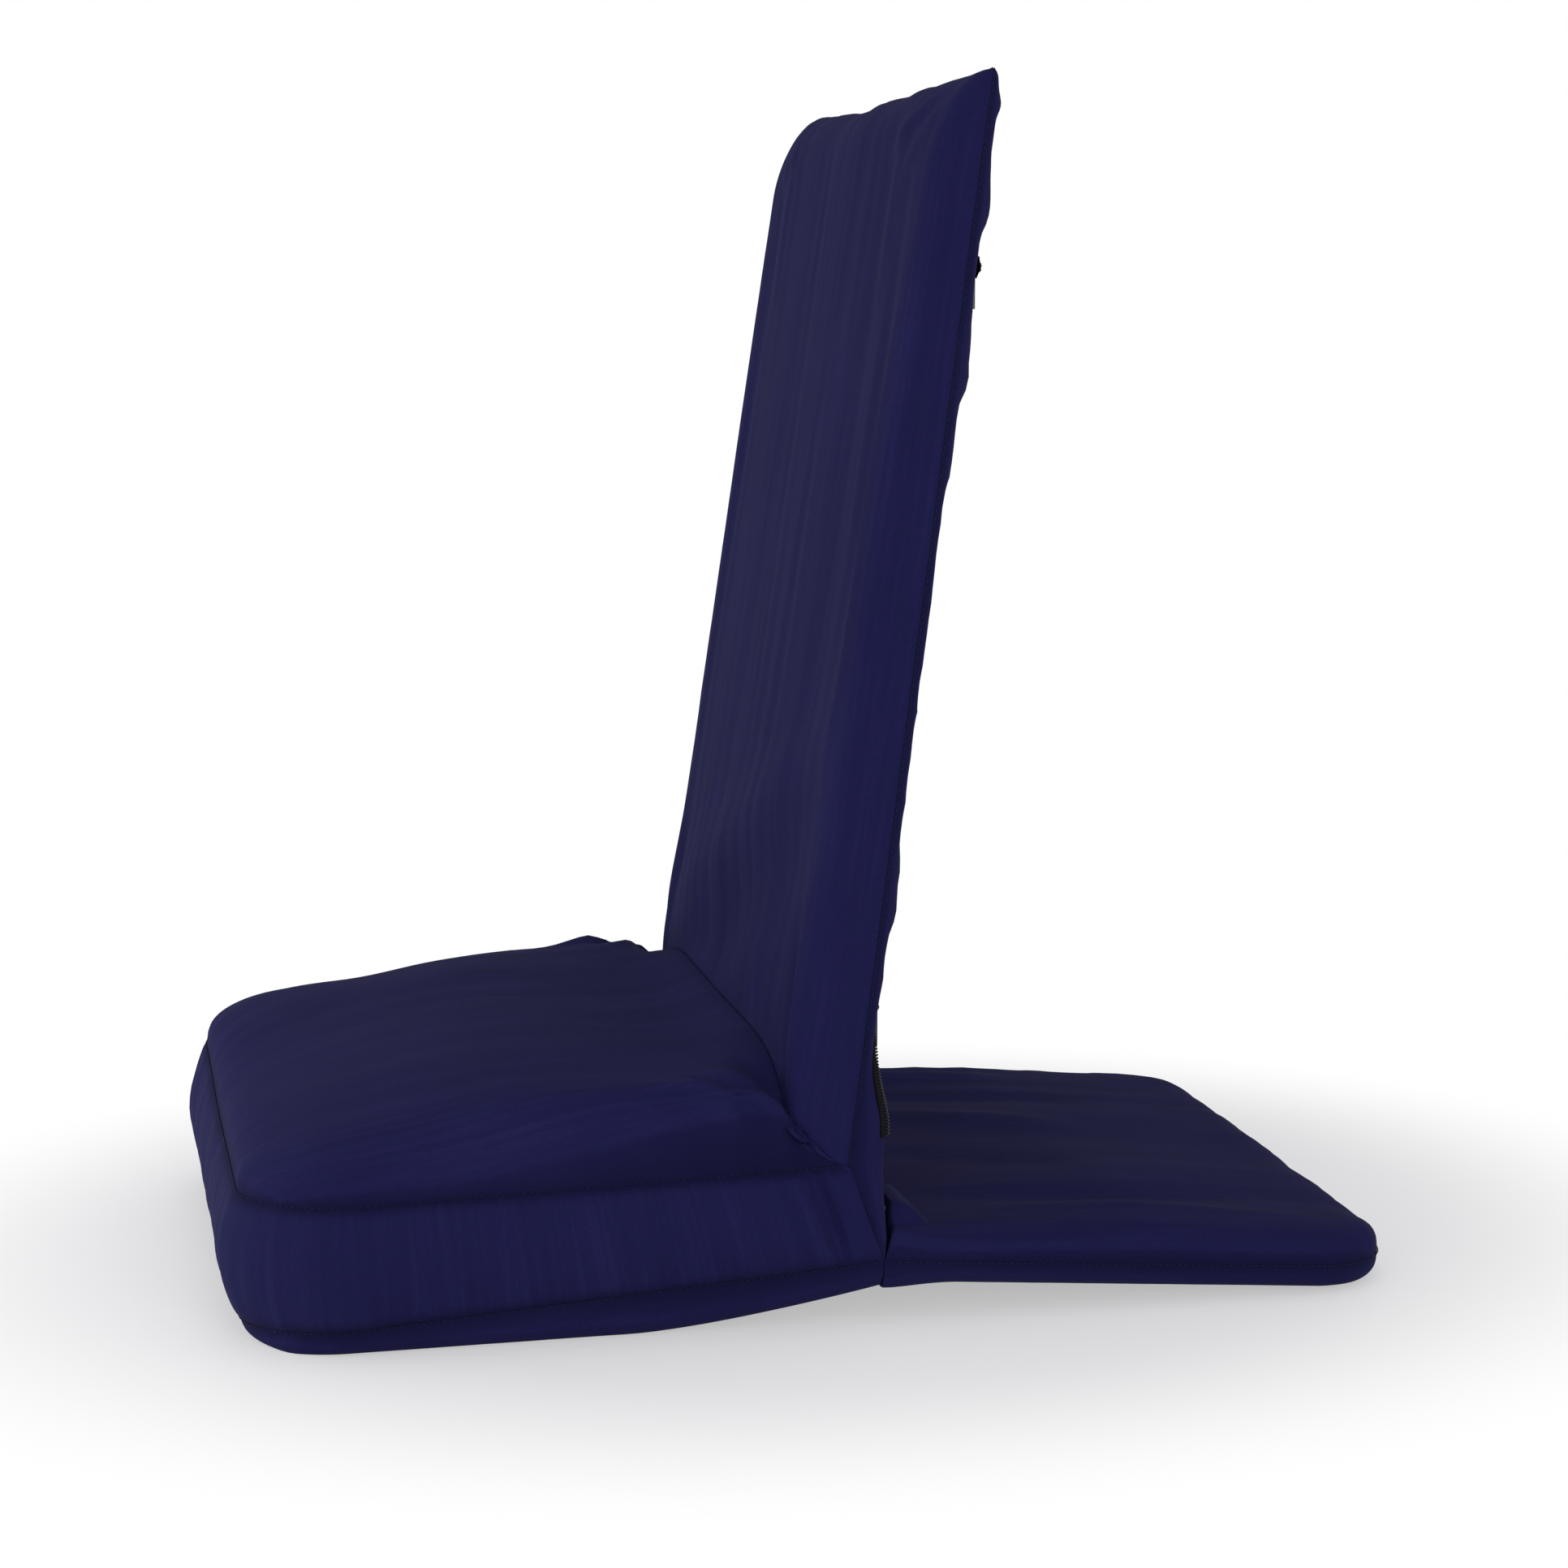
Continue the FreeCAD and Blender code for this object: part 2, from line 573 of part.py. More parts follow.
def frame_parts():
    """Both bent tubes, their crossbars and the webbing."""
    bores = rivet_bores(back_rivet_spots(), rivet_r + run_gap)
    back = stood(back_tube(tube_r).cut(back_tube(tube_r - tube_wall))).cut(bores)
    bores = rivet_bores(tail_rivet_spots(), rivet_r + run_gap)
    tail = laid(tail_tube(tube_r).cut(tail_tube(tube_r - tube_wall))).cut(bores)
    bar_r = crossbar_d / 2
    back_bar = crossbar(back_leg_y, Vector(-tube_depth, 0, back_bar_up), bar_r, bar_r - tube_wall)
    back_bar = stood(back_bar.cut(back_tube(tube_r + fit_gap)))
    tail_bar = crossbar(tail_leg_y, Vector(tail_bar_back, 0, 0), bar_r, bar_r - tube_wall)
    tail_bar = laid(tail_bar.cut(tail_tube(tube_r + fit_gap)))
    straps = [stood(strap(up, 0)) for up in strap_heights()]
    return {"back_frame": back, "tail_frame": tail, "back_crossbar": back_bar, "tail_crossbar": tail_bar,
            "back_webbing": Part.Compound(straps)}


def hinge_room(solid):
    """The solid with room for the plates and bolts to turn about the pin."""
    inner = tail_plate_y - plate - spring_disc - nut_high - 2 * hinge_room_gap
    outer = back_plate_y + bolt_head + hinge_room_gap
    foot = Vector(pin[0], inner, pin[1])
    return solid.cut(both_sides(Part.makeCylinder(disc_r + hinge_room_gap, outer - inner, foot, Vector(0, 1, 0))))


def slit(up):
    """Cut through the rear panel for a zip."""
    reach = zip_length / 2 + zip_end
    return stood(block(0, 2 * rear_slack, -reach, reach, up - zip_slit / 2, up + zip_slit / 2))


def zip_heights():
    """Heights of the upper and the lower zip above the hub seam."""
    return {"upper": back_length - upper_zip_drop, "lower": lower_zip_up}


def back_parts():
    """Front and rear panel of the backrest's cover and the pads inside."""
    whole = back_form(0).common(back_region(0, 0))
    hollow = back_form(cloth).common(back_region(cloth, 40))
    shell = hinge_room(whole.cut(hollow))
    behind = stood(block(0, far, -far, far, -far, far))
    front = shell.cut(behind)
    rear = shell.common(behind).cut([slit(up) for up in zip_heights().values()])
    filling = back_form(cloth + soft_gap)
    foot = back_bar_up - 20
    channels = [back_tube(tube_r + channel_gap), Part.makeCylinder(crossbar_d / 2 + channel_gap, width,
                Vector(-tube_depth, -half, back_bar_up), Vector(0, 1, 0))]
    channels += [strap(up, channel_gap) for up in strap_heights()]
    channels = [stood(shape) for shape in channels]
    middle = -tube_depth
    tape_clear = rear_slack - cloth - zip_tape_thick - soft_gap
    ahead = stood(block(-far, middle - soft_gap / 2, -far, far, foot, far))
    after = stood(block(middle + soft_gap / 2, tape_clear, -far, far, foot, far))
    plates = both_sides(block(-far, far, back_plate_y - plate - rivet_head - 1, far, -far,
                              along_back(0, 0, tube_foot + back_rivet_at[-1] + strap_half + 6).z))
    pad_front = filling.common(ahead).cut(channels + [plates])
    pad_rear = filling.common(after).cut(channels + [plates])
    return {"back_front_panel": front, "back_rear_panel": rear, "back_pad_front": pad_front,
            "back_pad_rear": pad_rear}


def tail_section(x, inset):
    """Outline of the tail across its width, at a distance behind the hub."""
    from_end = max(tail_length - x, 0)
    wide = rounded_half(from_end - inset, tail_corner_r - inset, half - inset)
    share = x / tail_length
    seam = between(hub_seam_z, tail_end_seam_z, share)
    level = between(tail_top_z, tail_mid_z, 2 * share) if share < 0.5 else between(
        tail_mid_z, tail_end_top_z, 2 * share - 1)
    bottom = between(hub_lift, -floor_sink, min(share / 0.85, 1))
    closing = min(from_end / tail_end_round, 1)
    swell = math.sqrt(1 - (1 - closing) ** 2) * 0.8 + 0.2
    top = between(seam, level, swell) - inset
    under = between(seam, bottom, swell) + inset
    rim = tail_rim
    corners = [(-wide + rim, under), (wide - rim, under), (wide, seam), (wide - rim, top), (-wide + rim, top),
               (-wide, seam)]
    low_bow = 0.2 * math.hypot(rim, seam - under)
    high_bow = 0.2 * math.hypot(rim, top - seam)
    bows = [0.3, low_bow, high_bow, 2.0, high_bow, low_bow]
    return outline(corners, bows, lambda y, z: Vector(hub_x + x, y, z), inset == 0)


def tail_form(inset):
    """The tail's soft form, or the same a wall's thickness further in."""
    ends = [end for end in round_spots(tail_corner_r, 6) if end > 2 * inset]
    spots = [-60.0, tail_length / 2, tail_length * 0.75] + [tail_length - end for end in ends[::-1] + [inset]]
    body = lofted([tail_section(spot, inset) for spot in spots])
    return body.common(block(-far, far, -far, far, inset, far))


def tail_parts():
    """Top and bottom panel of the tail's cover and the pads inside."""
    whole = tail_form(0).common(tail_region())
    shell = hinge_room(whole.cut(tail_form(cloth)))
    seam = [(hub_x - 30, between(hub_seam_z, tail_end_seam_z, -30 / tail_length)),
            (tail_end + 30, between(hub_seam_z, tail_end_seam_z, 1 + 30 / tail_length))]
    above = side_region(seam + [(tail_end + 30, far), (hub_x - 30, far)])
    start = pin[0] + disc_r + 6
    filling = tail_form(cloth + soft_gap).common(block(start, far, -far, far, -far, far))
    bar = laid(Part.makeCylinder(crossbar_d / 2 + channel_gap, width, Vector(tail_bar_back, -half, 0),
                                 Vector(0, 1, 0)))
    channels = [laid(tail_tube(tube_r + channel_gap)), bar]
    plate_end = tail_rivet_spots()[-1].x + strap_half + 4
    plates = both_sides(block(-far, plate_end, tail_plate_y - plate - rivet_head - 1, far, -far, far))
    upper = laid(block(-far, far, -far, far, soft_gap / 2, far))
    lower = laid(block(-far, far, -far, far, -far, -soft_gap / 2))
    return {"tail_top_panel": shell.common(above), "tail_bottom_panel": shell.cut(above),
            "tail_pad_top": filling.common(upper).cut(channels + [plates]),
            "tail_pad_bottom": filling.common(lower).cut(channels + [plates])}


def zip_parts(name, up):
    """Tape, coil, slider and pull of one zip across the rear panel."""
    tape_back = rear_slack - cloth - soft_gap / 3
    reach = zip_length / 2 + tape_end
    tape = block(tape_back - zip_tape_thick, tape_back, -reach, reach, up - zip_tape / 2, up + zip_tape / 2)
    coil = block(tape_back, tape_back + coil_high, -zip_length / 2, zip_length / 2, up - coil_wide / 2,
                 up + coil_wide / 2)
    slider_y = -zip_length / 2 + slider_long / 2 + slider_start
    base = tape_back + coil_high + soft_gap
    top = base + slider_high
    slider = block(base, top, slider_y - slider_long / 2, slider_y + slider_long / 2,
                   up - slider_wide / 2, up + slider_wide / 2)
    slider = slider.makeFillet(slider_high / 4, [edge for edge in slider.Edges if edge.BoundBox.XLength > 1])
    bar_x = top + bail_rise
    post_in = pull_eye_wide / 2 + fit_gap
    posts = [block(top - fit_gap, bar_x + bail_r, slider_y + low, slider_y + low + bail_post, up - bail_r, up + bail_r)
             for low in (-post_in - bail_post, post_in)]
    bar = Part.makeCylinder(bail_r, 2 * post_in, Vector(bar_x, slider_y - post_in, up), Vector(0, 1, 0))
    slider = stood(slider.fuse(posts + [bar]))
    hang = along_back(bar_x, slider_y, up)
    eye_from = Vector(hang.x, slider_y - pull_eye_wide / 2, hang.z)
    eye = Part.makeCylinder(pull_eye_r, pull_eye_wide, eye_from, Vector(0, 1, 0))
    tab = block(hang.x - pull_thick / 2, hang.x + pull_thick / 2, slider_y - pull_wide / 2, slider_y + pull_wide / 2,
                hang.z - pull_long, hang.z - pull_eye_r - 1)
    neck = block(hang.x - pull_thick / 2, hang.x + pull_thick / 2, slider_y - pull_eye_wide / 2,
                 slider_y + pull_eye_wide / 2, hang.z - pull_eye_r - 2, hang.z)
    bore = Part.makeCylinder(bail_r + run_gap, 2 * pull_wide, Vector(hang.x, slider_y - pull_wide, hang.z),
                             Vector(0, 1, 0))
    pull = tab.fuse([neck, eye]).cut(bore)
    return {name + "_zip_tape": stood(tape), name + "_zip_coil": stood(coil), name + "_zip_slider": slider,
            name + "_zip_pull": pull}


def pieces():
    """Every piece by its name."""
    parts = {}
    for made in (seat_parts(), back_parts(), tail_parts(), frame_parts(), hinge_parts()):
        parts.update(made)
    for name, up in zip_heights().items():
        parts.update(zip_parts(name, up))
    return parts


def main():
    """Build every piece and write one file for each."""
    os.makedirs("parts", exist_ok=True)
    for name, shape in sorted(pieces().items()):
        shape.exportStep("parts/" + name + ".step")
        print(name, len(shape.Solids), round(shape.Volume), shape.isValid())


main()
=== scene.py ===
import json
import math

import bpy
import numpy as np
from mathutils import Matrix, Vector


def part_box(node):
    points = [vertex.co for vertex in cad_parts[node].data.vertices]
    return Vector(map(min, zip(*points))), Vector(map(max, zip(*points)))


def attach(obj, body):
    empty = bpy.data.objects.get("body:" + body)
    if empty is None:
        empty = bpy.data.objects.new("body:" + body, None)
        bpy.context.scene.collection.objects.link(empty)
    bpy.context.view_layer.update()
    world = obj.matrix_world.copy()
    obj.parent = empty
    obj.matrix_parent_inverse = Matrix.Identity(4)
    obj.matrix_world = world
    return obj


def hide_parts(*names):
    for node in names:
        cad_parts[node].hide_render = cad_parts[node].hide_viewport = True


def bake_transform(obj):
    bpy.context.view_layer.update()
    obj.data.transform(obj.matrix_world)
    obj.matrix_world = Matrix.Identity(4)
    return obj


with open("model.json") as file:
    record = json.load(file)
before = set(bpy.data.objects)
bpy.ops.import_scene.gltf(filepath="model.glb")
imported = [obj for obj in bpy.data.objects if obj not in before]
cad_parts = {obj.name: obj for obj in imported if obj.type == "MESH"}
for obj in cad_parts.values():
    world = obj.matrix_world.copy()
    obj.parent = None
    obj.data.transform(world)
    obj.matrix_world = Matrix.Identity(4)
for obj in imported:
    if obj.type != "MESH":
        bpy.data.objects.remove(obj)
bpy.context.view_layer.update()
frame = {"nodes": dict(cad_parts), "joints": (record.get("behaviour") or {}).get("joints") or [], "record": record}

# Folding floor chair in a navy twill cover. Metres, in the frame of the packed
# model: +X back along the tail, +Y to the far side, +Z up, floor at z = 0.

# Places taken from the frame
JOINTS = {joint["name"]: joint for joint in frame["joints"]}
PIN_X, _, PIN_Z = JOINTS["tail_fold"]["pos_m"]
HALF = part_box("seat_bottom_panel")[1].y
SEAT_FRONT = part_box("seat_boxing")[0].x
TAIL_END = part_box("tail_top_panel")[1].x
HUB_X = PIN_X - 0.0085  # the hub, where the three cushions meet
LEAN = math.radians(7.4)  # the backrest's lean from upright

# Seams of the cover, seen from the side
HUB_TOP = (HUB_X - 0.019, 0.087)
HUB_LOW = (HUB_X, 0.034)
HUB_UNDER = 0.018  # height of the cover's underside at the hub
HUB_TALL = 0.12  # the hidden wall's size on the flat cloth
SEAT_TOP_SEAM_FRONT = 0.078
SEAT_LOW_SEAM_FRONT = 0.011
TAIL_SEAM_END = 0.013

# Seat
SEAT_CORNER = 0.05
SEAT_RUN = 0.3  # its top from front to crease, for the fading of folds
CROWN = 0.06
CROWN_RUN = 0.29
CROWN_POWER = 2.44
SIDE_RUN = 0.15
SIDE_POWER = (2.2, 5.0)  # roundness of its sides, at the front and at the crease
FAR_RISE = 0.012  # its upper seam stands higher at the far front corner
HAUNCH = 0.016
UNDER_FLAT = 0.19  # length of its underside that lies on the floor
BOXING_BOW = 0.008
FRONT_BOW = 0.015  # the front edge bows out in the middle
FRONT_SKEW = 0.009  # and a little more towards the far corner
REAR_SAG = 0.012  # the dome levels off towards the backrest
SAG_RUN = 0.13  # begins there and takes as long
VALLEY_Z = 0.141  # crease between seat and backrest, at mid width
VALLEY_DROP = 0.036  # how much lower it is at the sides
VALLEY_RUN = 0.042  # length over which the crown falls into it
CREASE_DIP = 0.006  # and lower still at the backrest's sides

# Backrest
BACK_LENGTH = 0.566
SIDE_DEPTH = 0.02
FACE_DEPTH = 0.036  # from side seam to front face, at the crease
FACE_TAPER = 0.022  # depth that it loses per metre upwards
TAPER_FROM = 0.05
FRONT_ROUND = 0.01
FRONT_CROWN = 0.004
FRONT_SIDE = 0.034  # part of the front panel wrapped round a side
REAR_SLACK = 0.006
FLARE_TOP = 0.062
FLARE_FULL = 0.018
FLARE_REACH = 0.022
REAR_LIFT_FROM = 0.45  # above, the rear panel follows the top seam
PIN_LINE = (PIN_X - 0.0055, PIN_Z + 0.004)
TOP_DIP = 0.007
TOP_WAVE = (0.0012, 0.035)  # height and length of the top seam's waves
TOP_ROUND = 0.03
CORNER_ROUND = 0.052  # length over which the top corners thin out
CORNER_FROM, CORNER_OVER = 0.13, 0.055  # from mid width
EDGE_POWER = 2.3  # roundness of the thin cushions' edges
HUB_ROWS = 14  # mesh rows of the rear panel between the hub's two seams

# Tail
TAIL_CORNER = 0.052
TAIL_RIM = 0.03
TAIL_TOP = (0.049, 0.045, 0.03)  # height of its top beside the hub, half way and at the end
TAIL_HALF_WAY = 0.146
BARREL = 0.0165  # radius of the cloth over the hinges' round ends
BARREL_FLAT = 0.003
BARREL_SIDE = 0.018  # its sides fall away over this length

# Zips
COIL_HALF_HEIGHT = 0.0026
UPPER_ZIP_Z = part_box("upper_zip_coil")[0].z + COIL_HALF_HEIGHT
LOWER_ZIP_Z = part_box("lower_zip_coil")[0].z + COIL_HALF_HEIGHT
UPPER_ZIP_UP = (UPPER_ZIP_Z - HUB_TOP[1]) / math.cos(LEAN)  # up the backrest from the hub's top seam
LOWER_ZIP_UP = (LOWER_ZIP_Z - HUB_TOP[1]) / math.cos(LEAN)
ZIP_CALM = (0.85, 0.018)  # share of the waves that a zip flattens, and reach
ZIP_HALF = 0.16  # half length of the lower zip's straight part
ZIP_BEND = 0.03
ZIP_DROP = 0.034
ZIP_SHUT = 0.192  # half length of the upper zip, sewn in at the side seams
TAPE_PROFILE = ((-0.006, -0.0016), (-0.0055, 0.0002), (-0.003, 0.0008), (0.0, 0.0009),
                (0.003, 0.0008), (0.0055, 0.0002), (0.006, -0.0016))  # across it, and out of the panel
TAPE_LIFT = 0.0004
TAPE_THICK = 0.0006
TOOTH_PITCH = 0.0017
TOOTH_LEAN = 0.3  # share of the pitch
TOOTH_THICK = 0.0006
TOOTH_FOOT = (0.0024, 0.0012)  # across the zip, and out of the panel
TOOTH_HEAD = (0.0012, 0.0021)

# Mesh and seams
CELL = 0.0048  # usual width of a mesh cell
SEAM_DEPTH = 0.0011
SEAM_WIDTH = 0.0022
SEAM_SHADE_REACH = 0.0011  # reach of the painted shade along a seam
# reach of the same painted shade along the seat boxing's seams
BOXING_SHADE_REACH = 0.004
PUCKER_START = 0.003
PUCKER_REACH = 0.014
STITCH = 0.0026
STITCH_PITCH = 0.0036
STITCH_ARCH = 0.0002
STITCH_LIFT = 0.0004
THREAD = 0.00032
HEARTS = {"seat": (-0.14, 0, 0.05), "back": (0.03, 0, 0.3), "tail": (0.15, 0, 0.02)}  # threads face away

# Seeds of the noise in each panel
SEEDS = {"puckers": 5, "seat": 11, "boxing": 23, "front": 31, "top_edge": 41, "rear": 53,
         "tail": 61, "tail_under": 67}

# Waves: height, length and shift in a sheet's two directions, layers of noise
SEAT_WAVES = ((0.0016, 0.11, 0.13, 0, 0, 3), (0.0007, 0.022, 0.16, 5, 0, 2))
UNDER_WAVES = ((0.001, 0.05, 0.05, 0, 0, 3),)
PUCKERS = ((0.0009, 0.016, 0.09, 0, 0, 1), (0.00054, 0.007, 0.05, 9, 0, 1))
BOXING_GATHERS = ((0.0011, 0.011, 0.12, 0, 0, 1), (0.00077, 0.006, 0.06, 4, 2, 1))
BOXING_WAVES = ((0.0008, 0.05, 0.04, 0, 0, 3),)
FRONT_WAVES = ((0.0017, 0.036, 0.42, 0, 0, 1), (0.0008, 0.015, 0.26, 8, 2, 1),
               (0.0004, 0.006, 0.12, 3, 5, 1))
FRONT_WANDER = ((0.01, 0.19, 0.5, 0, 0, 1),)
TOP_GATHERS = ((0.0011, 0.012, 0.2, 2, 0, 1),)
REAR_SIDE_WAVES = ((0.0034, 0.026, 0.11, 0, 0, 1), (0.0017, 0.012, 0.05, 3, 0, 1))
REAR_WAVES = ((0.003, 0.09, 0.12, 0, 0, 3),)
REAR_STREAKS = ((0.0016, 0.02, 0.25, 6, 0, 1),)
TAIL_WAVES = ((0.0022, 0.045, 0.19, 0, 0, 1), (0.0008, 0.018, 0.11, 4, 0, 1))
TAIL_UNDER_WAVES = ((0.0008, 0.05, 0.06, 0, 0, 3),)

# Folds: start and end in a sheet's own directions, width, rise
REAR_FOLDS = (  # seat top: x, distance out from its middle
    ((-0.07, 0.14), (-0.022, 0.204), 0.005, 0.0048),
    ((-0.086, 0.15), (-0.031, 0.204), 0.0045, -0.005),
    ((-0.11, 0.16), (-0.043, 0.203), 0.006, 0.0034),
    ((-0.13, 0.17), (-0.06, 0.202), 0.007, -0.0026),
    ((-0.055, 0.12), (-0.024, 0.18), 0.005, -0.004),
)
HUB_FOLDS = (  # seat top beside its side seams: x, z
    ((-0.064, 0.15), (-0.018, 0.08), 0.004, 0.0052),
    ((-0.078, 0.148), (-0.03, 0.078), 0.0036, -0.0056),
    ((-0.094, 0.146), (-0.04, 0.08), 0.005, 0.0036),
    ((-0.112, 0.14), (-0.058, 0.084), 0.006, -0.0026),
    ((-0.052, 0.146), (-0.012, 0.082), 0.003, -0.0044),
)
BOXING_FOLDS = (  # x, distance below the upper seam
    ((-0.026, -0.006), (-0.004, 0.06), 0.0042, -0.0062),
    ((-0.036, -0.004), (-0.015, 0.058), 0.005, 0.0044),
    ((-0.046, 0.004), (-0.03, 0.04), 0.005, -0.0018),
    ((-0.24, 0.01), (-0.19, 0.07), 0.015, -0.0022),
    ((-0.29, 0.016), (-0.25, 0.062), 0.014, 0.002),
    ((-0.11, 0.02), (-0.07, 0.06), 0.012, -0.0012),
)
FRONT_FOLDS = (  # distance from a side seam, height up the backrest
    ((0.046, 0.5), (0.056, 0.12), 0.007, 0.0022),
    ((0.07, 0.52), (0.062, 0.26), 0.009, -0.0016),
    ((0.036, 0.2), (0.03, 0.02), 0.005, -0.0022),
    ((0.052, 0.15), (0.04, 0.022), 0.0055, 0.0024),
    ((0.068, 0.13), (0.048, 0.03), 0.006, -0.0024),
    ((0.018, 0.06), (0.026, 0.004), 0.003, -0.0014),
    ((0.04, 0.556), (0.09, 0.5), 0.006, 0.0016),
    ((0.052, 0.558), (0.12, 0.52), 0.005, 0.0018),
    ((0.095, 0.552), (0.1, 0.44), 0.01, 0.0016),
)
FAR_FOLDS = 0.8  # strength of the same folds at the far side
TENSION_FOLDS = (  # across the foot of the backrest, from its near side
    ((0.04, 0.225), (0.42, 0.06), 0.026, 0.005),
    ((0.06, 0.16), (0.34, 0.04), 0.03, -0.004),
)
TAIL_FOLDS = (  # y, x
    ((-0.15, 0.075), (-0.168, 0.27), 0.009, 0.0024),
    ((-0.128, 0.05), (-0.14, 0.24), 0.011, -0.0024),
    ((0.06, 0.03), (0.02, 0.19), 0.012, 0.003),
    ((0.105, 0.03), (0.085, 0.21), 0.013, -0.0028),
    ((0.14, 0.028), (0.15, 0.17), 0.012, 0.0034),
    ((0.17, 0.06), (0.165, 0.2), 0.01, -0.0018),
    ((-0.04, 0.04), (-0.07, 0.16), 0.013, -0.002),
)

# Materials by slot: name, colour, roughness, metallic, grain's scale and depth, gleam
COVER_BLUE = (0.012, 0.0112, 0.062)
PLAIN_MATERIALS = {
    "thread": ("seam_thread", (0.01, 0.01, 0.04), 0.7, 0, 3000, 0.0001, 0.15),
    "zip_tape": ("zip_tape_black", (0.005, 0.005, 0.008), 0.8, 0, 2500, 0.0001, 0.12),
    "zip_coil": ("zip_coil_black", (0.005, 0.005, 0.007), 0.45, 0, 2500, 0.0001, 0.3),
    "foam": ("foam_grey", (0.45, 0.44, 0.42), 0.9, 0, 900, 0.0004, 0.5),
    "wadding": ("wadding_white", (0.75, 0.75, 0.73), 0.95, 0, 500, 0.0006, 0.5),
    "webbing": ("webbing_black", (0.02, 0.02, 0.022), 0.7, 0, 1200, 0.0003, 0.5),
    "frame_paint": ("frame_black", (0.018, 0.018, 0.02), 0.38, 0, 700, 0.0001, 0.5),
    "zinc_steel": ("zinc", (0.62, 0.63, 0.65), 0.32, 1, 900, 0.0001, 0.5),
    "nylon": ("nylon_white", (0.7, 0.7, 0.68), 0.5, 0, 900, 0.0001, 0.5),
    "zip_metal": ("zip_slider_black", (0.012, 0.012, 0.014), 0.32, 0.4, 1500, 0.0001, 0.5),
}

# Camera and lamps: name, place, target, size, power
CAMERA_AT = (-0.3671, -1.7711, 0.5238)
CAMERA_YAW = 0.206
CAMERA_PITCH = 0.145
CAMERA_LENS = 72.93
FLOOR_REACH = 30.0
LAMPS = (
    ("low", (-1.25, 0.05, 0.16), (-0.3, 0, 0.05), 0.7, 6.5),
    ("key", (-1.5, -1.9, 1.3), (-0.05, 0, 0.2), 1.2, 5.0),
    ("side", (0.3, -2.3, 0.6), (0.0, 0, 0.15), 1.0, 15.0),
    ("top", (-0.2, 0.3, 2.4), (0.0, 0, 0.1), 1.6, 6.0),
)


def smooth(x):
    """Eased step from 0 to 1."""
    x = np.clip(x, 0.0, 1.0)
    return x * x * (3 - 2 * x)


def swell(share, power):
    """Rise of a rounded edge: 0 at share 0, 1 at share 1, upright at the start."""
    share = np.clip(share, 0.0, 1.0)
    return (1 - (1 - share) ** power) ** (1 / power)


def mix(a, b, share):
    return a + (b - a) * share


def shares(count, crowd=0.8):
    """Shares from 0 to 1, closer together near both ends, where the seams are."""
    t = np.linspace(0, 1, count + 1)
    return t - crowd * np.sin(2 * math.pi * t) / (2 * math.pi)


def run_along(points):
    """Length along a line of points, from its start to each of them."""
    steps = np.linalg.norm(np.diff(points, axis=0), axis=1)
    return np.concatenate([[0], np.cumsum(steps)])


def read_off(values, run, at):
    """Values given along a line at the lengths run, read at the lengths at."""
    return np.stack([np.interp(at, run, values[:, k]) for k in range(values.shape[1])], axis=-1)


def resample(points, at):
    """Points at given shares of the length of a dense line."""
    run = run_along(points)
    return read_off(points, run / run[-1], at)


def arc(centre, radius, start, end):
    """Points on a circle in plan, angles in degrees."""
    turn = np.radians(np.linspace(start, end, 24))
    return np.stack([centre[0] + radius * np.cos(turn), centre[1] + radius * np.sin(turn)], axis=1)


def round_end(end_x, way, radius, hub_x):
    """Plan lines of a near side and its round end. way is -1 for the seat, 1 for the tail."""
    centre = (end_x - way * radius, -HALF + radius)
    side = np.concatenate([arc(centre, radius, 270 + 45 * way, 270), [[hub_x, -HALF]]])
    far_centre = (centre[0], -centre[1])
    end = np.concatenate([arc(centre, radius, 270 + 45 * way, 270 + 90 * way),
                          arc(far_centre, radius, 90 - 90 * way, 90 - 45 * way)])
    return side, end


def between(first, second, w):
    """Grid of straight rows from one line of points to another, at the shares w."""
    return first[:, None, :] * (1 - w)[None, :, None] + second[:, None, :] * w[None, :, None]


def coons(low, high, start, end, u, v):
    """Grid between four edge lines: low and high at u 0 and 1, start and end at v 0 and 1."""
    uu, vv = u[:, None, None], v[None, :, None]
    across = (1 - uu) * low[None, :, :] + uu * high[None, :, :]
    along = (1 - vv) * start[:, None, :] + vv * end[:, None, :]
    corners = ((1 - uu) * (1 - vv) * start[0] + uu * (1 - vv) * start[-1]
               + (1 - uu) * vv * end[0] + uu * vv * end[-1])
    return across + along - corners


def distances(u, v, length):
    """Distances of a panel's points from its nearer side, its first end and its last end."""
    return np.minimum(u, 1 - u)[:, None] * 2 * HALF, v[None, :] * length, (1 - v)[None, :] * length


class Noise:
    """Smooth seeded noise on a plane, between -1 and 1."""

    def __init__(self, panel):
        self.table = np.random.RandomState(SEEDS[panel]).uniform(-1, 1, (64, 64))

    def __call__(self, a, b):
        ia, ib = np.floor(a).astype(int), np.floor(b).astype(int)
        fa, fb = smooth(a - ia), smooth(b - ib)
        t = self.table
        low = mix(t[ia % 64, ib % 64], t[(ia + 1) % 64, ib % 64], fa)
        high = mix(t[ia % 64, (ib + 1) % 64], t[(ia + 1) % 64, (ib + 1) % 64], fa)
        return mix(low, high, fb)

    def rough(self, a, b, layers):
        """The same with finer and finer layers added."""
        total, size = 0.0, 1.0
        for layer in range(layers):
            total = total + size * self(a * 2 ** layer + 7.3 * layer, b * 2 ** layer + 3.1 * layer)
            size /= 2
        return total


def waves(noise, a, b, table):
    """Sum of a table's waves at places a, b."""
    total = 0.0
    for height, length_a, length_b, shift_a, shift_b, layers in table:
        total = total + height * noise.rough(a / length_a + shift_a, b / length_b + shift_b, layers)
    return total


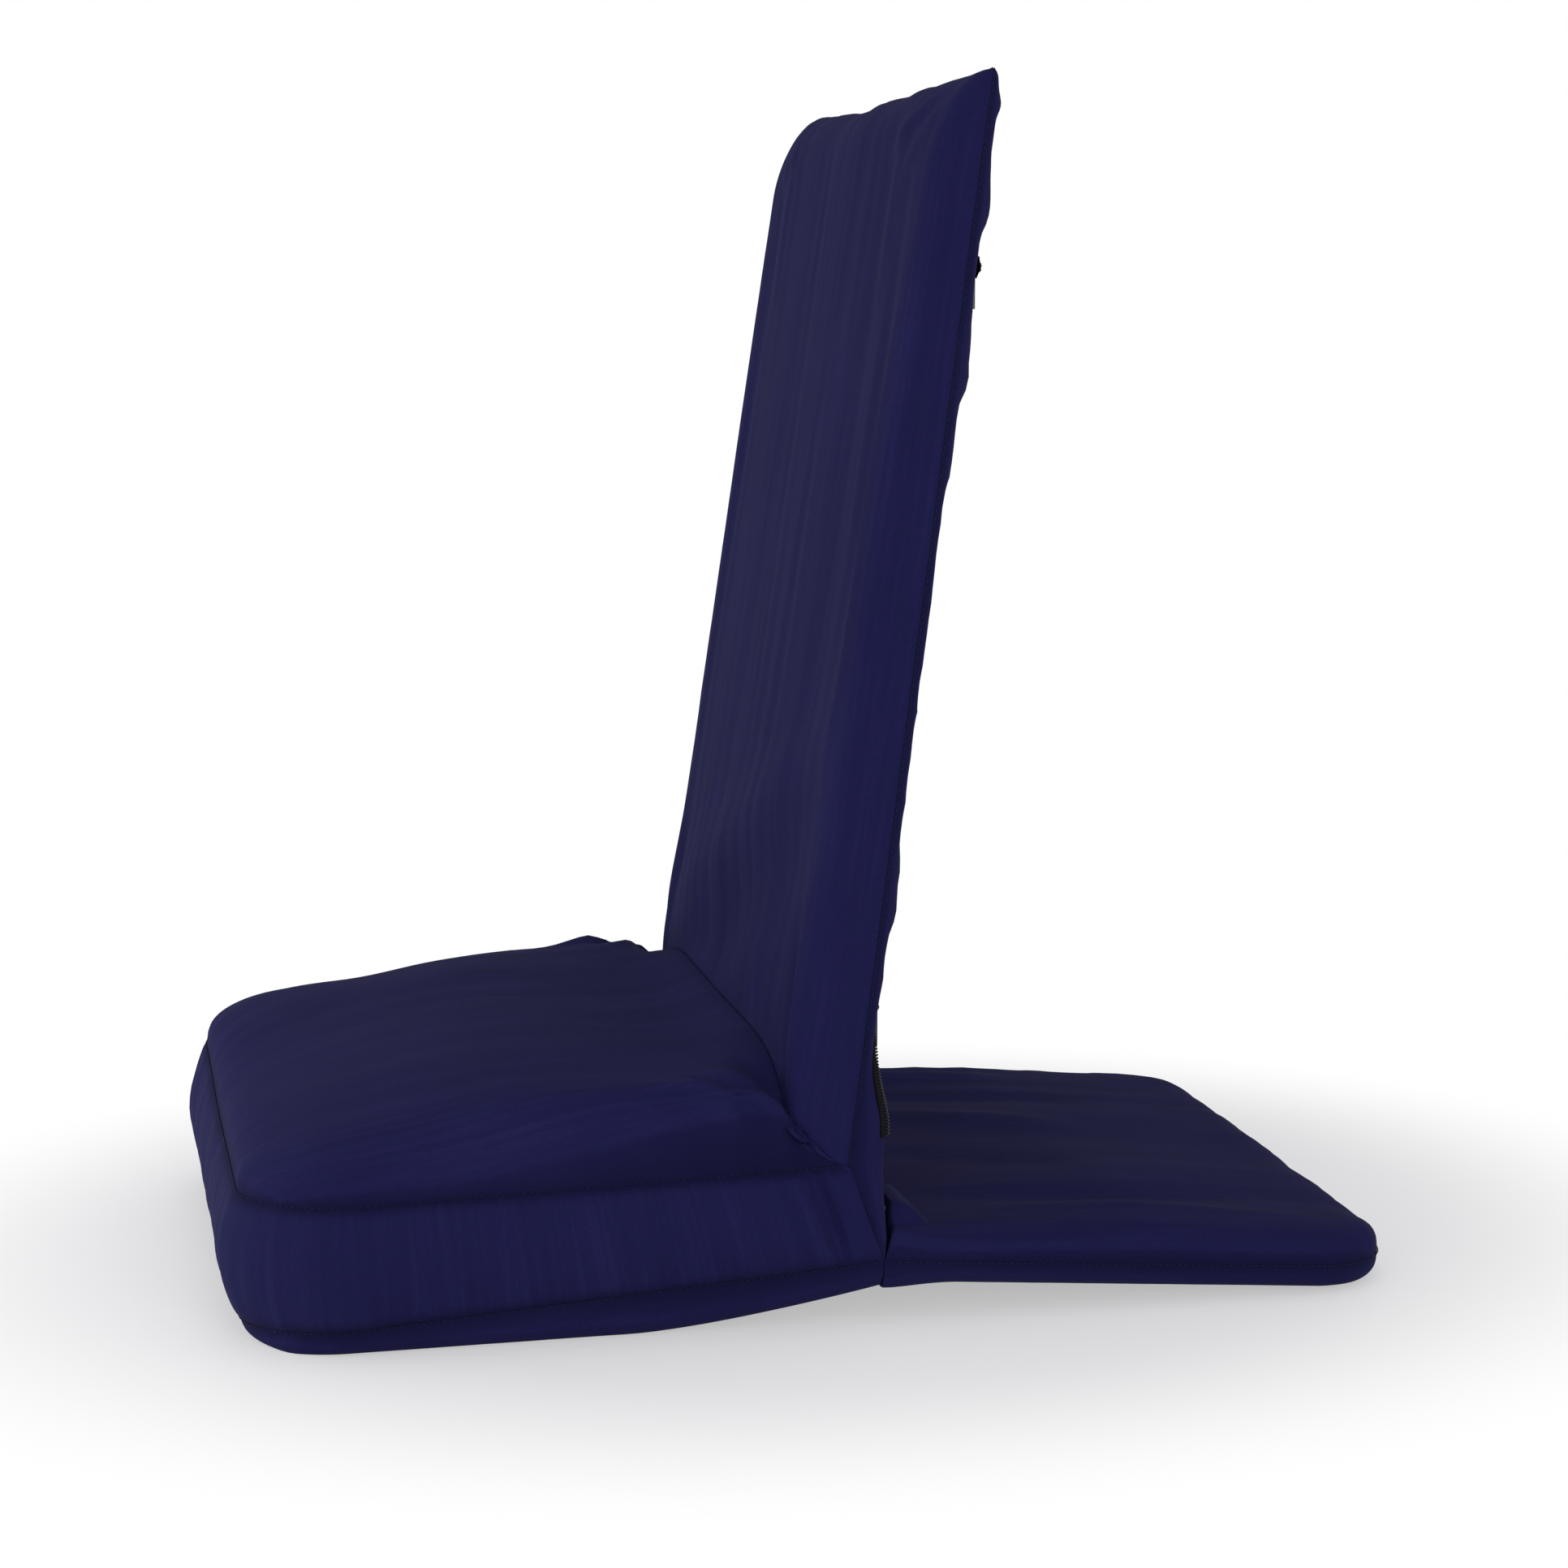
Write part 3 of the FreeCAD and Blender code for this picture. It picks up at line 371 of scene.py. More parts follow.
def folds(a, b, table):
    """Sum of a table's soft folds at places a, b."""
    total = 0.0
    for start, end, width, rise in table:
        way = np.array(end) - np.array(start)
        length = np.linalg.norm(way)
        way /= length
        along = ((a - start[0]) * way[0] + (b - start[1]) * way[1]) / length
        off = (b - start[1]) * way[0] - (a - start[0]) * way[1]
        body = np.sin(np.clip(along, 0, 1) * math.pi) ** 0.7
        total = total + rise * body * np.exp(-(off / width) ** 2)
    return total


def puckers(run, edge):
    """Small gathers beside a seam: run is the place along it, edge the distance from it."""
    fade = np.exp(-edge / PUCKER_REACH) * (1 - np.exp(-edge / PUCKER_START))
    return waves(Noise("puckers"), run, edge, PUCKERS) * fade


def groove(distance):
    """How far the cloth stands above a seam's furrow at a distance from it."""
    return SEAM_DEPTH * (1 - np.exp(-(distance / SEAM_WIDTH) ** 2))


def normals_of(grid):
    """Unit normals of a grid of points."""
    n = np.cross(np.gradient(grid, axis=0), np.gradient(grid, axis=1))
    return n / np.maximum(np.linalg.norm(n, axis=2, keepdims=True), 1e-12)


def lifted(grid, heights, outward):
    """The grid moved along its normals, to the side that outward says, inside its four edges."""
    n = normals_of(grid)
    sign = np.sign((n * np.asarray(outward)).sum(axis=2, keepdims=True))
    sign[sign == 0] = 1
    moved = grid + n * sign * heights[:, :, None]
    moved[0], moved[-1] = grid[0], grid[-1]
    moved[:, 0], moved[:, -1] = grid[:, 0], grid[:, -1]
    return moved


def placed(name, data):
    """A new object in the scene."""
    thing = bpy.data.objects.new(name, data)
    bpy.context.scene.collection.objects.link(thing)
    return thing


class Cushion:
    """One mesh put together from grids, merged where they share their edges."""

    def __init__(self, name):
        self.name, self.parts, self.count = name, [], 0

    def add(self, grid, across, along, flip=False, edge=None, dark=SEAM_SHADE_REACH):
        """Adds a grid, its places on the flat cloth and its distances from a seam."""
        shape = rows, columns = grid.shape[:2]
        index = np.arange(rows * columns).reshape(shape) + self.count
        quads = np.stack([index[:-1, :-1], index[1:, :-1], index[1:, 1:], index[:-1, 1:]], axis=2)
        quads = quads.reshape(-1, 4)[:, ::-1 if flip else 1]
        cloth = np.stack([np.broadcast_to(across, shape), np.broadcast_to(along, shape)], axis=2)
        # strength of the painted seam shade: 1 on a seam, fading away from it
        mark = np.zeros(shape) if edge is None else np.exp(-(edge / dark) ** 2)
        self.parts.append((grid.reshape(-1, 3), cloth.reshape(-1, 2), mark.reshape(-1), quads))
        self.count += rows * columns

    def build(self):
        """The object, with the cloth places kept for the weave and the seams marked for their painted shade."""
        points, cloth, marks, faces = [np.concatenate(rows) for rows in zip(*self.parts)]
        keys = np.round(points * 2e5).astype(np.int64)
        _, first, same = np.unique(keys, axis=0, return_index=True, return_inverse=True)
        same = same.reshape(-1)
        mark = np.zeros(len(first))
        np.maximum.at(mark, same, marks)
        kept, corners = [], []
        for face, old in zip(same[faces], faces):
            ring = [k for k in range(4) if face[k] != face[k - 1]]
            if len(ring) > 2:
                kept.append([int(face[k]) for k in ring])
                corners.extend(old[ring])
        mesh = bpy.data.meshes.new(self.name)
        mesh.from_pydata(points[first].tolist(), [], kept)
        layer = mesh.uv_layers.new(name="cloth")
        layer.data.foreach_set("uv", cloth[corners].astype(np.float32).ravel())
        attribute = mesh.attributes.new("seam", "FLOAT", "POINT")
        attribute.data.foreach_set("value", mark.astype(np.float32))
        mesh.shade_smooth()
        mesh.validate()
        return placed(self.name, mesh)


def hub_line(u):
    """Plan line of the hub's lower seam."""
    return np.stack([np.full(len(u), HUB_LOW[0]), mix(-HALF, HALF, u)], axis=1)


# Seat

def seat_seam_z(front_z, hub, x):
    """Height of a side seam of the seat at x."""
    return mix(front_z, hub[1], (x - SEAT_FRONT) / (hub[0] - SEAT_FRONT))


def face_x(z):
    """Front face of the backrest at a height, at its sides."""
    return HUB_TOP[0] + (z - HUB_TOP[1]) * math.tan(LEAN) - FACE_DEPTH


def valley_z(y):
    """Height of the crease between seat and backrest."""
    return VALLEY_Z - VALLEY_DROP * np.abs(y / HALF) ** 6


def crease_line():
    """The crease from the near hub corner round the backrest's front to the far one."""
    corner_z = VALLEY_Z - VALLEY_DROP
    side_z = corner_z - CREASE_DIP
    t = np.linspace(0, 1, 12)
    side = np.stack([HUB_TOP[0] - SIDE_DEPTH * t + (corner_z - HUB_TOP[1]) * t * math.tan(LEAN),
                     np.full(12, -HALF), mix(HUB_TOP[1], side_z, t ** 1.6)], axis=1)
    turn = np.linspace(0, math.pi / 2, 10)[1:]
    y = -HALF + FRONT_ROUND * (1 - np.cos(turn))
    z = mix(side_z, valley_z(-HALF + FRONT_ROUND), turn / turn[-1])
    corner = np.stack([face_x(z) + FRONT_ROUND - FRONT_ROUND * np.sin(turn), y, z], axis=1)
    y = np.linspace(-HALF + FRONT_ROUND, 0, 60)[1:]
    z = valley_z(y)
    front = np.stack([face_x(z) - FRONT_CROWN * (1 - (y / (HALF - FRONT_ROUND)) ** 2), y, z], axis=1)
    near = np.concatenate([side, corner, front])
    return np.concatenate([near, near[::-1][1:] * np.array([1, -1, 1])])


def bowed(line, hub_x):
    """A plan line of the seat with its front bowed out, in the middle and towards the far corner."""
    share = np.clip((hub_x - line[:, 0]) / (hub_x - SEAT_FRONT), 0, 1) ** 2
    y = line[:, 1] / HALF
    bow = FRONT_BOW * (1 - np.abs(y) ** 3) + FRONT_SKEW * (y + 1) / 2
    return np.stack([line[:, 0] - bow * share, line[:, 1]], axis=1)


def seat_outline(u, v, hub_x):
    """Plan lines of the seat: near side, far side and front, for one of its seams."""
    side, front = round_end(SEAT_FRONT, -1, SEAT_CORNER, hub_x)
    near = resample(side, v)
    far = near * np.array([1, -1])
    return bowed(near, hub_x), bowed(far, hub_x), resample(bowed(front, hub_x), u)


def seat_top_shape(u, v):
    """Grid of the seat's top panel, its height above the seam shaped as a crown."""
    near, far, front = seat_outline(u, v, HUB_TOP[0])
    rear = resample(crease_line(), u)
    plan = coons(near, far, front, rear[:, :2], u, v)
    x, y = plan[..., 0], plan[..., 1]
    from_side, from_front, from_rear = distances(u, v, HUB_TOP[0] - SEAT_FRONT)
    power = mix(SIDE_POWER[0], SIDE_POWER[1], smooth((from_front - 0.08) / 0.2))
    z = seat_seam_z(SEAT_TOP_SEAM_FRONT, HUB_TOP, x)
    z = z + CROWN * swell(from_front / CROWN_RUN, CROWN_POWER) * swell(from_side / SIDE_RUN, power)
    z = z + FAR_RISE * smooth(y / HALF + 0.1) * (1 - smooth(from_front / 0.14))
    z = z - REAR_SAG * smooth((from_front - SAG_RUN) / SAG_RUN) * swell(from_side / SIDE_RUN, 2)
    z = z + (rear[:, 2] - z[:, -1])[:, None] * (1 - smooth(from_rear / VALLEY_RUN)) ** 1.3
    return np.stack([x, y, z], axis=2), from_side, from_front


def seat_top_panel(cushion, u, v):
    """Top panel of the seat, with its gathers and folds."""
    grid, from_side, from_front = seat_top_shape(u, v)
    across, x, z = mix(-HALF, HALF, u)[:, None], grid[..., 0], grid[..., 2]
    to_crease = (1 - v)[None, :] * SEAT_RUN
    inside = smooth(from_side / 0.03) * smooth(from_front / 0.03) * smooth(to_crease / 0.03)
    height = waves(Noise("seat"), across, x, SEAT_WAVES) * inside
    height += puckers(x, from_side) + puckers(across + 3, from_front)
    both_sides = folds(x, -across, REAR_FOLDS) + folds(x, across, REAR_FOLDS)
    height += both_sides * smooth(from_side / 0.008) * smooth(to_crease / 0.006)
    beside = np.exp(-(from_side / 0.035) ** 2) * smooth(from_side / 0.0015)
    height += folds(x, z, HUB_FOLDS) * beside
    edge = np.minimum(from_side, from_front)
    height += groove(edge) * 0.4
    moved = lifted(grid, height, (0, 0, 1))
    cushion.add(moved, across, x, edge=edge)
    return moved


def seat_bottom_panel(cushion, u, v):
    """Bottom panel of the seat, flat where it stands and lifted towards the hub."""
    near, far, front = seat_outline(u, v, HUB_LOW[0])
    plan = coons(near, far, front, hub_line(u), u, v)
    x, y = plan[..., 0], plan[..., 1]
    from_side, from_front, _ = distances(u, v, HUB_LOW[0] - SEAT_FRONT)
    seam = seat_seam_z(SEAT_LOW_SEAM_FRONT, HUB_LOW, x)
    rise = (x - SEAT_FRONT - UNDER_FLAT) / (HUB_LOW[0] - SEAT_FRONT - UNDER_FLAT)
    level = HUB_UNDER * np.clip(rise, 0, 1) ** 1.5
    drop = swell(from_front / HAUNCH, 2.2) * swell(from_side / HAUNCH, 2.2)
    grid = np.stack([x, y, seam + (level - seam) * drop], axis=2)
    edge = np.minimum(from_side, from_front)
    sag = waves(Noise("seat"), x, y, UNDER_WAVES) * smooth(from_side / 0.05)
    moved = lifted(grid, groove(edge) * 0.4 - np.maximum(sag, 0), (0, 0, -1))
    cushion.add(moved, moved[..., 1], moved[..., 0], True, edge)
    return moved


def seat_boxing(cushion, upper, lower):
    """Strip round the near side, the front and the far side, between the seat's two seams."""
    w = shares(22, 0.75)
    grid = between(upper, lower, w)
    run = run_along((upper + lower) / 2)[:, None]
    tall = np.linalg.norm(upper - lower, axis=1)[:, None]
    down = w[None, :] * tall
    x, y = grid[..., 0], grid[..., 1]
    front = smooth((SEAT_FRONT + SEAT_CORNER - x) / SEAT_CORNER)
    bulge = np.sin(math.pi * w)[None, :] ** 0.8
    noise = Noise("boxing")
    height = BOXING_BOW * bulge * mix(1.0, 1.15, front) * smooth(np.minimum(run, run[-1] - run) / 0.05)
    height += waves(noise, run, down, BOXING_GATHERS) * front * bulge
    height += waves(noise, run, down, BOXING_WAVES) * bulge
    edge = np.minimum(down, tall - down)
    height += puckers(run, edge) * 1.3
    height += folds(x, down, BOXING_FOLDS) * smooth(edge / 0.003)
    height += groove(edge) * 0.6
    outward = np.stack([x - (SEAT_FRONT + 0.16), y * 1.2, 0 * x], axis=2)
    cushion.add(lifted(grid, height, outward), run, down, True, edge, BOXING_SHADE_REACH)


def round_rim(grid):
    """Edge of the seat's top or bottom panel: near side, front and far side."""
    return np.concatenate([grid[0, ::-1], grid[1:, 0], grid[-1, 1:]])


def seat_cushion():
    """The thick seat: top panel, boxing and bottom panel of one cover, and a hidden wall at the hub."""
    cushion = Cushion("seat_cushion")
    u = shares(int(2 * HALF / CELL))
    v = shares(int((HUB_TOP[0] - SEAT_FRONT) / CELL))
    top = seat_top_panel(cushion, u, v)
    under = seat_bottom_panel(cushion, u, v)
    upper, lower = round_rim(top), round_rim(under)
    seat_boxing(cushion, upper, lower)
    w = shares(14, 0.7)
    cushion.add(between(top[:, -1], under[:, -1], w), mix(-HALF, HALF, u)[:, None], HUB_TALL * w[None, :])
    return cushion.build(), upper, lower


# Backrest

def back_point(depth, y, up):
    """Point behind the side seam by depth, at a height along the backrest."""
    x = HUB_TOP[0] + depth * math.cos(LEAN) + up * math.sin(LEAN)
    z = HUB_TOP[1] - depth * math.sin(LEAN) + up * math.cos(LEAN)
    return np.stack(np.broadcast_arrays(x, y, z), axis=-1)


def height_up(points):
    """Height along the backrest of points in space."""
    return (points[..., 0] - HUB_TOP[0]) * math.sin(LEAN) + (points[..., 2] - HUB_TOP[1]) * math.cos(LEAN)


def rear_depth(up):
    """How far the rear panel lies behind the side seam."""
    eased = smooth((FLARE_TOP - up) / (FLARE_TOP - FLARE_FULL))
    return mix(REAR_SLACK, FLARE_REACH - up * math.tan(LEAN), eased)


def top_edge(y):
    """Height of the backrest's top seam, which hangs between its pinched corners."""
    height, length = TOP_WAVE
    wave = height * Noise("top_edge")(y / length, 0 * y)
    return BACK_LENGTH - TOP_DIP * (1 - (y / HALF) ** 2) + wave


def thin(below_top, y):
    """Share of its depth that the backrest keeps at a distance below its top seam."""
    middle, corner = swell(below_top / TOP_ROUND, EDGE_POWER), swell(below_top / CORNER_ROUND, 1.8)
    return mix(middle, corner, smooth((np.abs(y) - CORNER_FROM) / CORNER_OVER))


def front_columns():
    """Across the front panel from seam to seam: depth behind the seam and place across."""
    side = np.stack([-SIDE_DEPTH * shares(6, 0.6), np.full(7, -HALF)], axis=1)
    turn = np.linspace(0, math.pi / 2, 6)[1:]
    corner = np.stack([-SIDE_DEPTH - (FACE_DEPTH - SIDE_DEPTH) * np.sin(turn),
                       -HALF + FRONT_ROUND * (1 - np.cos(turn))], axis=1)
    y = mix(-HALF + FRONT_ROUND, 0, np.linspace(0, 1, 40))[1:]
    crown = FRONT_CROWN * (1 - (y / (HALF - FRONT_ROUND)) ** 2)
    near = np.concatenate([side, corner, np.stack([-FACE_DEPTH - crown, y], axis=1)])
    return np.concatenate([near, near[::-1][1:] * np.array([1, -1])])


def front_panel(cushion):
    """Front panel of the backrest, from one side seam round to the other."""
    columns = front_columns()
    depth, y = columns[:, 0], columns[:, 1]
    run = run_along(columns)
    crease = resample(crease_line(), run / run[-1])
    foot, top = height_up(crease), top_edge(y)
    up = foot[:, None] + (top - foot)[:, None] * shares(int(BACK_LENGTH / CELL), 0.7)[None, :]
    below, above = top[:, None] - up, up - foot[:, None]
    taper = 1 - np.clip(up - TAPER_FROM, 0, 1) * FACE_TAPER / FACE_DEPTH
    grid = back_point(depth[:, None] * thin(below, y[:, None]) * taper, y[:, None], up)
    to_crease = (crease - back_point(depth, y, foot))[:, None, :]
    grid = grid + (1 - smooth(above / 0.03))[:, :, None] * to_crease
    grid[:, 0] = crease
    sideways = np.where(np.abs(y) > HALF - FRONT_ROUND * 1.01, np.sign(y) * 2, 0)[:, None]
    outward = np.stack(np.broadcast_arrays(-1, sideways, 0 * up), axis=2)
    across, total = run[:, None], run[-1]
    moved = lifted(grid, front_relief(across, up, total, below, above), outward)
    edge = np.minimum(np.minimum(across, total - across), below)
    cushion.add(moved, across, up, False, edge)
    return moved


def front_relief(a, b, total, below, above):
    """Folds of the backrest's front panel. a runs across it from the near seam, b up it."""
    noise = Noise("front")
    from_side = np.minimum(a, total - a)
    across = smooth((from_side - FRONT_SIDE) / 0.02)
    inside = smooth(below / 0.03) * smooth(above / 0.02) * across
    wander = a + waves(noise, b, a, FRONT_WANDER) + 0.02 * (b - 0.3)
    height = waves(noise, wander, b, FRONT_WAVES) * inside
    both_sides = folds(a, b, FRONT_FOLDS) + folds(total - a, b, FRONT_FOLDS) * FAR_FOLDS
    height += both_sides * smooth(above / 0.004) * smooth(below / 0.006)
    height += folds(a, b, TENSION_FOLDS) * smooth(above / 0.02)
    height += waves(noise, a, b, TOP_GATHERS) * np.exp(-below / 0.022) * smooth(below / 0.004) * across
    height += puckers(b + 1, from_side) * 0.8
    return height + groove(np.minimum(from_side, below)) * 0.5


def rear_shape(near, far, top_line, u):
    """Grid of the rear panel between its two sides, flaring over the hinges."""
    up = height_up(near)
    grid = between(near, far, u).swapaxes(0, 1)
    below = BACK_LENGTH - up
    depth = rear_depth(up) * mix(0.35, 1.0, swell(below / TOP_ROUND, EDGE_POWER))
    from_side = np.minimum(u, 1 - u) * 2 * HALF
    round_in = mix(0.012, 0.02, smooth((0.09 - up) / 0.06))
    share = swell(from_side[:, None] / round_in[None, :], 2.2)
    target_x = back_point(depth, 0, up)[None, :, 0]
    low = smooth(-up / 0.045)[None, :] ** 2
    grid[..., 0] += (target_x - near[None, :, 0]) * share + (PIN_LINE[0] - target_x) * share * low
    grid[..., 2] += (PIN_LINE[1] - near[0, 2]) * share * (1 - smooth((up - up[0]) / 0.05))[None, :]
    near_top = smooth((up - REAR_LIFT_FROM) / (BACK_LENGTH - REAR_LIFT_FROM))[None, :]
    grid[..., 2] += (top_line[:, 2] - grid[:, -1, 2])[:, None] * near_top
    grid[:, -1] = top_line
    return grid, up, below[None, :], from_side[:, None]


def rear_panel(cushion, front):
    """Slack rear panel, from side seam to side seam and down to the hinges."""
    corner = np.array([[HUB_LOW[0], -HALF, HUB_LOW[1]]])
    hub = between(corner, front[:1, 0], shares(HUB_ROWS, 0.5)[:-1])[0]
    near = np.concatenate([hub, front[0]])
    far = np.concatenate([hub * np.array([1, -1, 1]), front[-1]])
    u = shares(84, 0.82)
    grid, up, below, from_side = rear_shape(near, far, resample(front[:, -1], u), u)
    across, along = (mix(-HALF, HALF, u) + HALF)[:, None], up[None, :]
    moved = lifted(grid, rear_relief(across, along, from_side, below), (1, 0, 0))
    cushion.add(moved, across, along, True, np.minimum(from_side, below))
    return moved


def rear_relief(a, b, from_side, below):
    """Waves of the slack rear panel, strongest beside the side seams."""
    noise = Noise("rear")
    inside = smooth(from_side / 0.012) * smooth(below / 0.02)
    beside = np.exp(-np.maximum(from_side - 0.012, 0) / 0.05)
    height = waves(noise, b, a, REAR_SIDE_WAVES) * beside * inside * smooth((b + 0.01) / 0.05)
    height += waves(noise, a, b, REAR_WAVES) * inside * smooth((b + 0.02) / 0.08)
    height += waves(noise, a, b, REAR_STREAKS) * inside
    calm, reach = ZIP_CALM
    for place in (UPPER_ZIP_UP, LOWER_ZIP_UP):
        height *= 1 - calm * np.exp(-((b - place) / reach) ** 2)
    return height + groove(np.minimum(from_side, below)) * 0.5


def hidden_foot(cushion, front, rear):
    """Wall from the crease down and under to the hinge line, hidden inside the hub."""
    hub_near = rear[0, :HUB_ROWS + 1][::-1]
    hub_far = rear[-1, :HUB_ROWS + 1][::-1]
    low_seam = np.array([hub_near[-1], hub_far[-1]])
    crease = front[:, 0]
    low = resample(low_seam, np.linspace(0, 1, len(crease)))
    run = run_along(hub_near)
    wall = between(crease, low, run / run[-1])
    wall[0], wall[-1] = hub_near, hub_far
    hinge_line = rear[:, 0]
    under = resample(low_seam, (hinge_line[:, 1] + HALF) / (2 * HALF))
    for grid in (wall, np.stack([under, hinge_line], axis=1)):
        cushion.add(grid, grid[..., 1], grid[..., 2], True)


def back_cushion():
    """The thin backrest: front panel wrapped round the sides, slack rear panel, hidden foot."""
    cushion = Cushion("back_cushion")
    front = front_panel(cushion)
    rear = rear_panel(cushion, front)
    hidden_foot(cushion, front, rear)
    return cushion.build(), front, rear


# Tail

def tail_relief(a, b, from_side, from_end, from_hub):
    """Long soft folds of the tail's top. a runs across it, b back along it."""
    inside = smooth(from_side / 0.02) * smooth(from_end / 0.02) * smooth(from_hub / 0.01)
    height = (waves(Noise("tail"), a, b, TAIL_WAVES) + folds(a, b, TAIL_FOLDS)) * inside
    edge = np.minimum(from_side, from_end)
    height += puckers(np.where(from_side < from_end, b, a + 2), edge)
    return height + groove(edge) * 0.5


def hinge_bump(x, y):
    """Height of the cloth where it lies over the round ends of the hinges."""
    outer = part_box("hinge_bolts")[1].y + 0.022
    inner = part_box("hinge_nuts")[1].y - 0.022 - 0.02
    reach = PIN_Z + BARREL - np.maximum(np.abs(x - PIN_X) - BARREL_FLAT, 0) ** 2 / 0.02
    return reach * smooth((np.abs(y) - inner) / BARREL_SIDE) * smooth((outer - np.abs(y)) / BARREL_SIDE)


def tail_cushion():
    """The flat tail: two panels joined by one seam round its rim, and a hidden wall at the hub."""
    cushion = Cushion("tail_cushion")
    u, v = shares(84, 0.82), shares(64, 0.75)
    side, rear = round_end(TAIL_END, 1, TAIL_CORNER, HUB_LOW[0])
    near = resample(side[::-1], v)
    plan = coons(near, near * np.array([1, -1]), hub_line(u), resample(rear, u), u, v)
    x, y = plan[..., 0], plan[..., 1]
    from_side, from_hub, from_end = distances(u, v, TAIL_END - HUB_X)
    seam = mix(HUB_LOW[1], TAIL_SEAM_END, (x - HUB_LOW[0]) / (TAIL_END - HUB_LOW[0]))
    rim = TAIL_RIM * mix(0.3, 1.0, smooth(from_hub / 0.045))
    full = swell(from_side / rim, EDGE_POWER) * swell(from_end / TAIL_RIM, EDGE_POWER)
    level = np.interp(x, [HUB_X, HUB_X + TAIL_HALF_WAY, TAIL_END], TAIL_TOP)
    low_level = HUB_UNDER * (1 - np.clip((x - HUB_X) / (0.85 * (TAIL_END - HUB_X)), 0, 1))
    shift = (PIN_X - HUB_LOW[0]) * swell(from_side / TAIL_RIM, EDGE_POWER) * (1 - smooth(from_hub / 0.05))
    top = np.stack([x + shift, y, seam + (level - seam) * full], axis=2)
    top = lifted(top, tail_relief(y, x, from_side, from_end, from_hub), (0, 0, 1))
    top[..., 2] = np.maximum(top[..., 2], hinge_bump(top[..., 0], top[..., 1]))
    under = np.stack([x, y, seam + (low_level - seam) * full], axis=2)
    edge = np.minimum(from_side, from_end)
    sag = np.abs(waves(Noise("tail_under"), y, x, TAIL_UNDER_WAVES)) * smooth(edge / 0.05)
    under = lifted(under, groove(edge) * 0.4 - sag, (0, 0, -1))
    cushion.add(top, y, x, True, edge)
    cushion.add(under, y, x, False, edge)
    wall = between(top[:, 0], under[:, 0], np.linspace(0, 1, 6))
    cushion.add(wall, wall[..., 1], wall[..., 2])
    return cushion.build(), np.concatenate([top[0], top[1:, -1], top[-1, ::-1][1:]])


# Materials

class Nodes:
    """The shader nodes of a material or of the world."""

    def __init__(self, owner):
        owner.use_nodes = True
        self.tree = owner.node_tree

    def new(self, kind, **values):
        """A new node, with its settings and the constants of its sockets."""
        made = self.tree.nodes.new("ShaderNode" + kind)
        for key, value in values.items():
            if key in made.inputs:
                made.inputs[key].default_value = value
            else:
                setattr(made, key, value)
        return made

    def join(self, source, target, socket=0, output=0):
        """Links an output of one node to a socket of another."""
        self.tree.links.new(source.outputs[output], target.inputs[socket])

    def on(self, source, kind, output=0, **values):
        """A texture, or the placing of one, on a source of coordinates."""
        made = self.new(kind, **values)
        self.join(source, made, "Vector", output)
        return made

    def scaled(self, source, factor):
        """A node's value times a factor."""
        made = self.new("Math", operation="MULTIPLY")
        self.join(source, made, 0, "Fac")
        made.inputs[1].default_value = factor
        return made

    def span(self, source, low, high):
        """A node's value from 0 to 1, turned into low to high."""
        made = self.new("MapRange", **{"To Min": low, "To Max": high})
        self.join(source, made, "Value", "Fac")
        return made

    def bump(self, source, strength, distance, shader, under=None):
        """Raised grain from a texture, on top of another grain if there is one."""
        made = self.new("Bump", Strength=strength, Distance=distance)
        self.join(source, made, "Height", "Fac")
        if under is not None:
            self.join(under, made, "Normal")
        self.join(made, shader, "Normal")
        return made

    def seen_by(self, *rays):
        """1 for the two kinds of ray named, 0 for all others."""
        path, made = self.new("LightPath"), self.new("Math", operation="MAXIMUM")
        for socket, ray in enumerate(rays):
            self.join(path, made, socket, ray)
        return made


def new_material(name, **constants):
    """A material, its nodes and its shader, with constants on the shader's own sockets."""
    material = bpy.data.materials.new(name)
    nodes = Nodes(material)
    shader = material.node_tree.nodes["Principled BSDF"]
    for socket, value in constants.items():
        shader.inputs[socket.replace("_", " ")].default_value = value
    return material, nodes, shader


def tint(colour, factor, added=0):
    """A colour made lighter or darker, with full cover."""
    return tuple(min(c * factor + added, 1) for c in colour) + (1,)


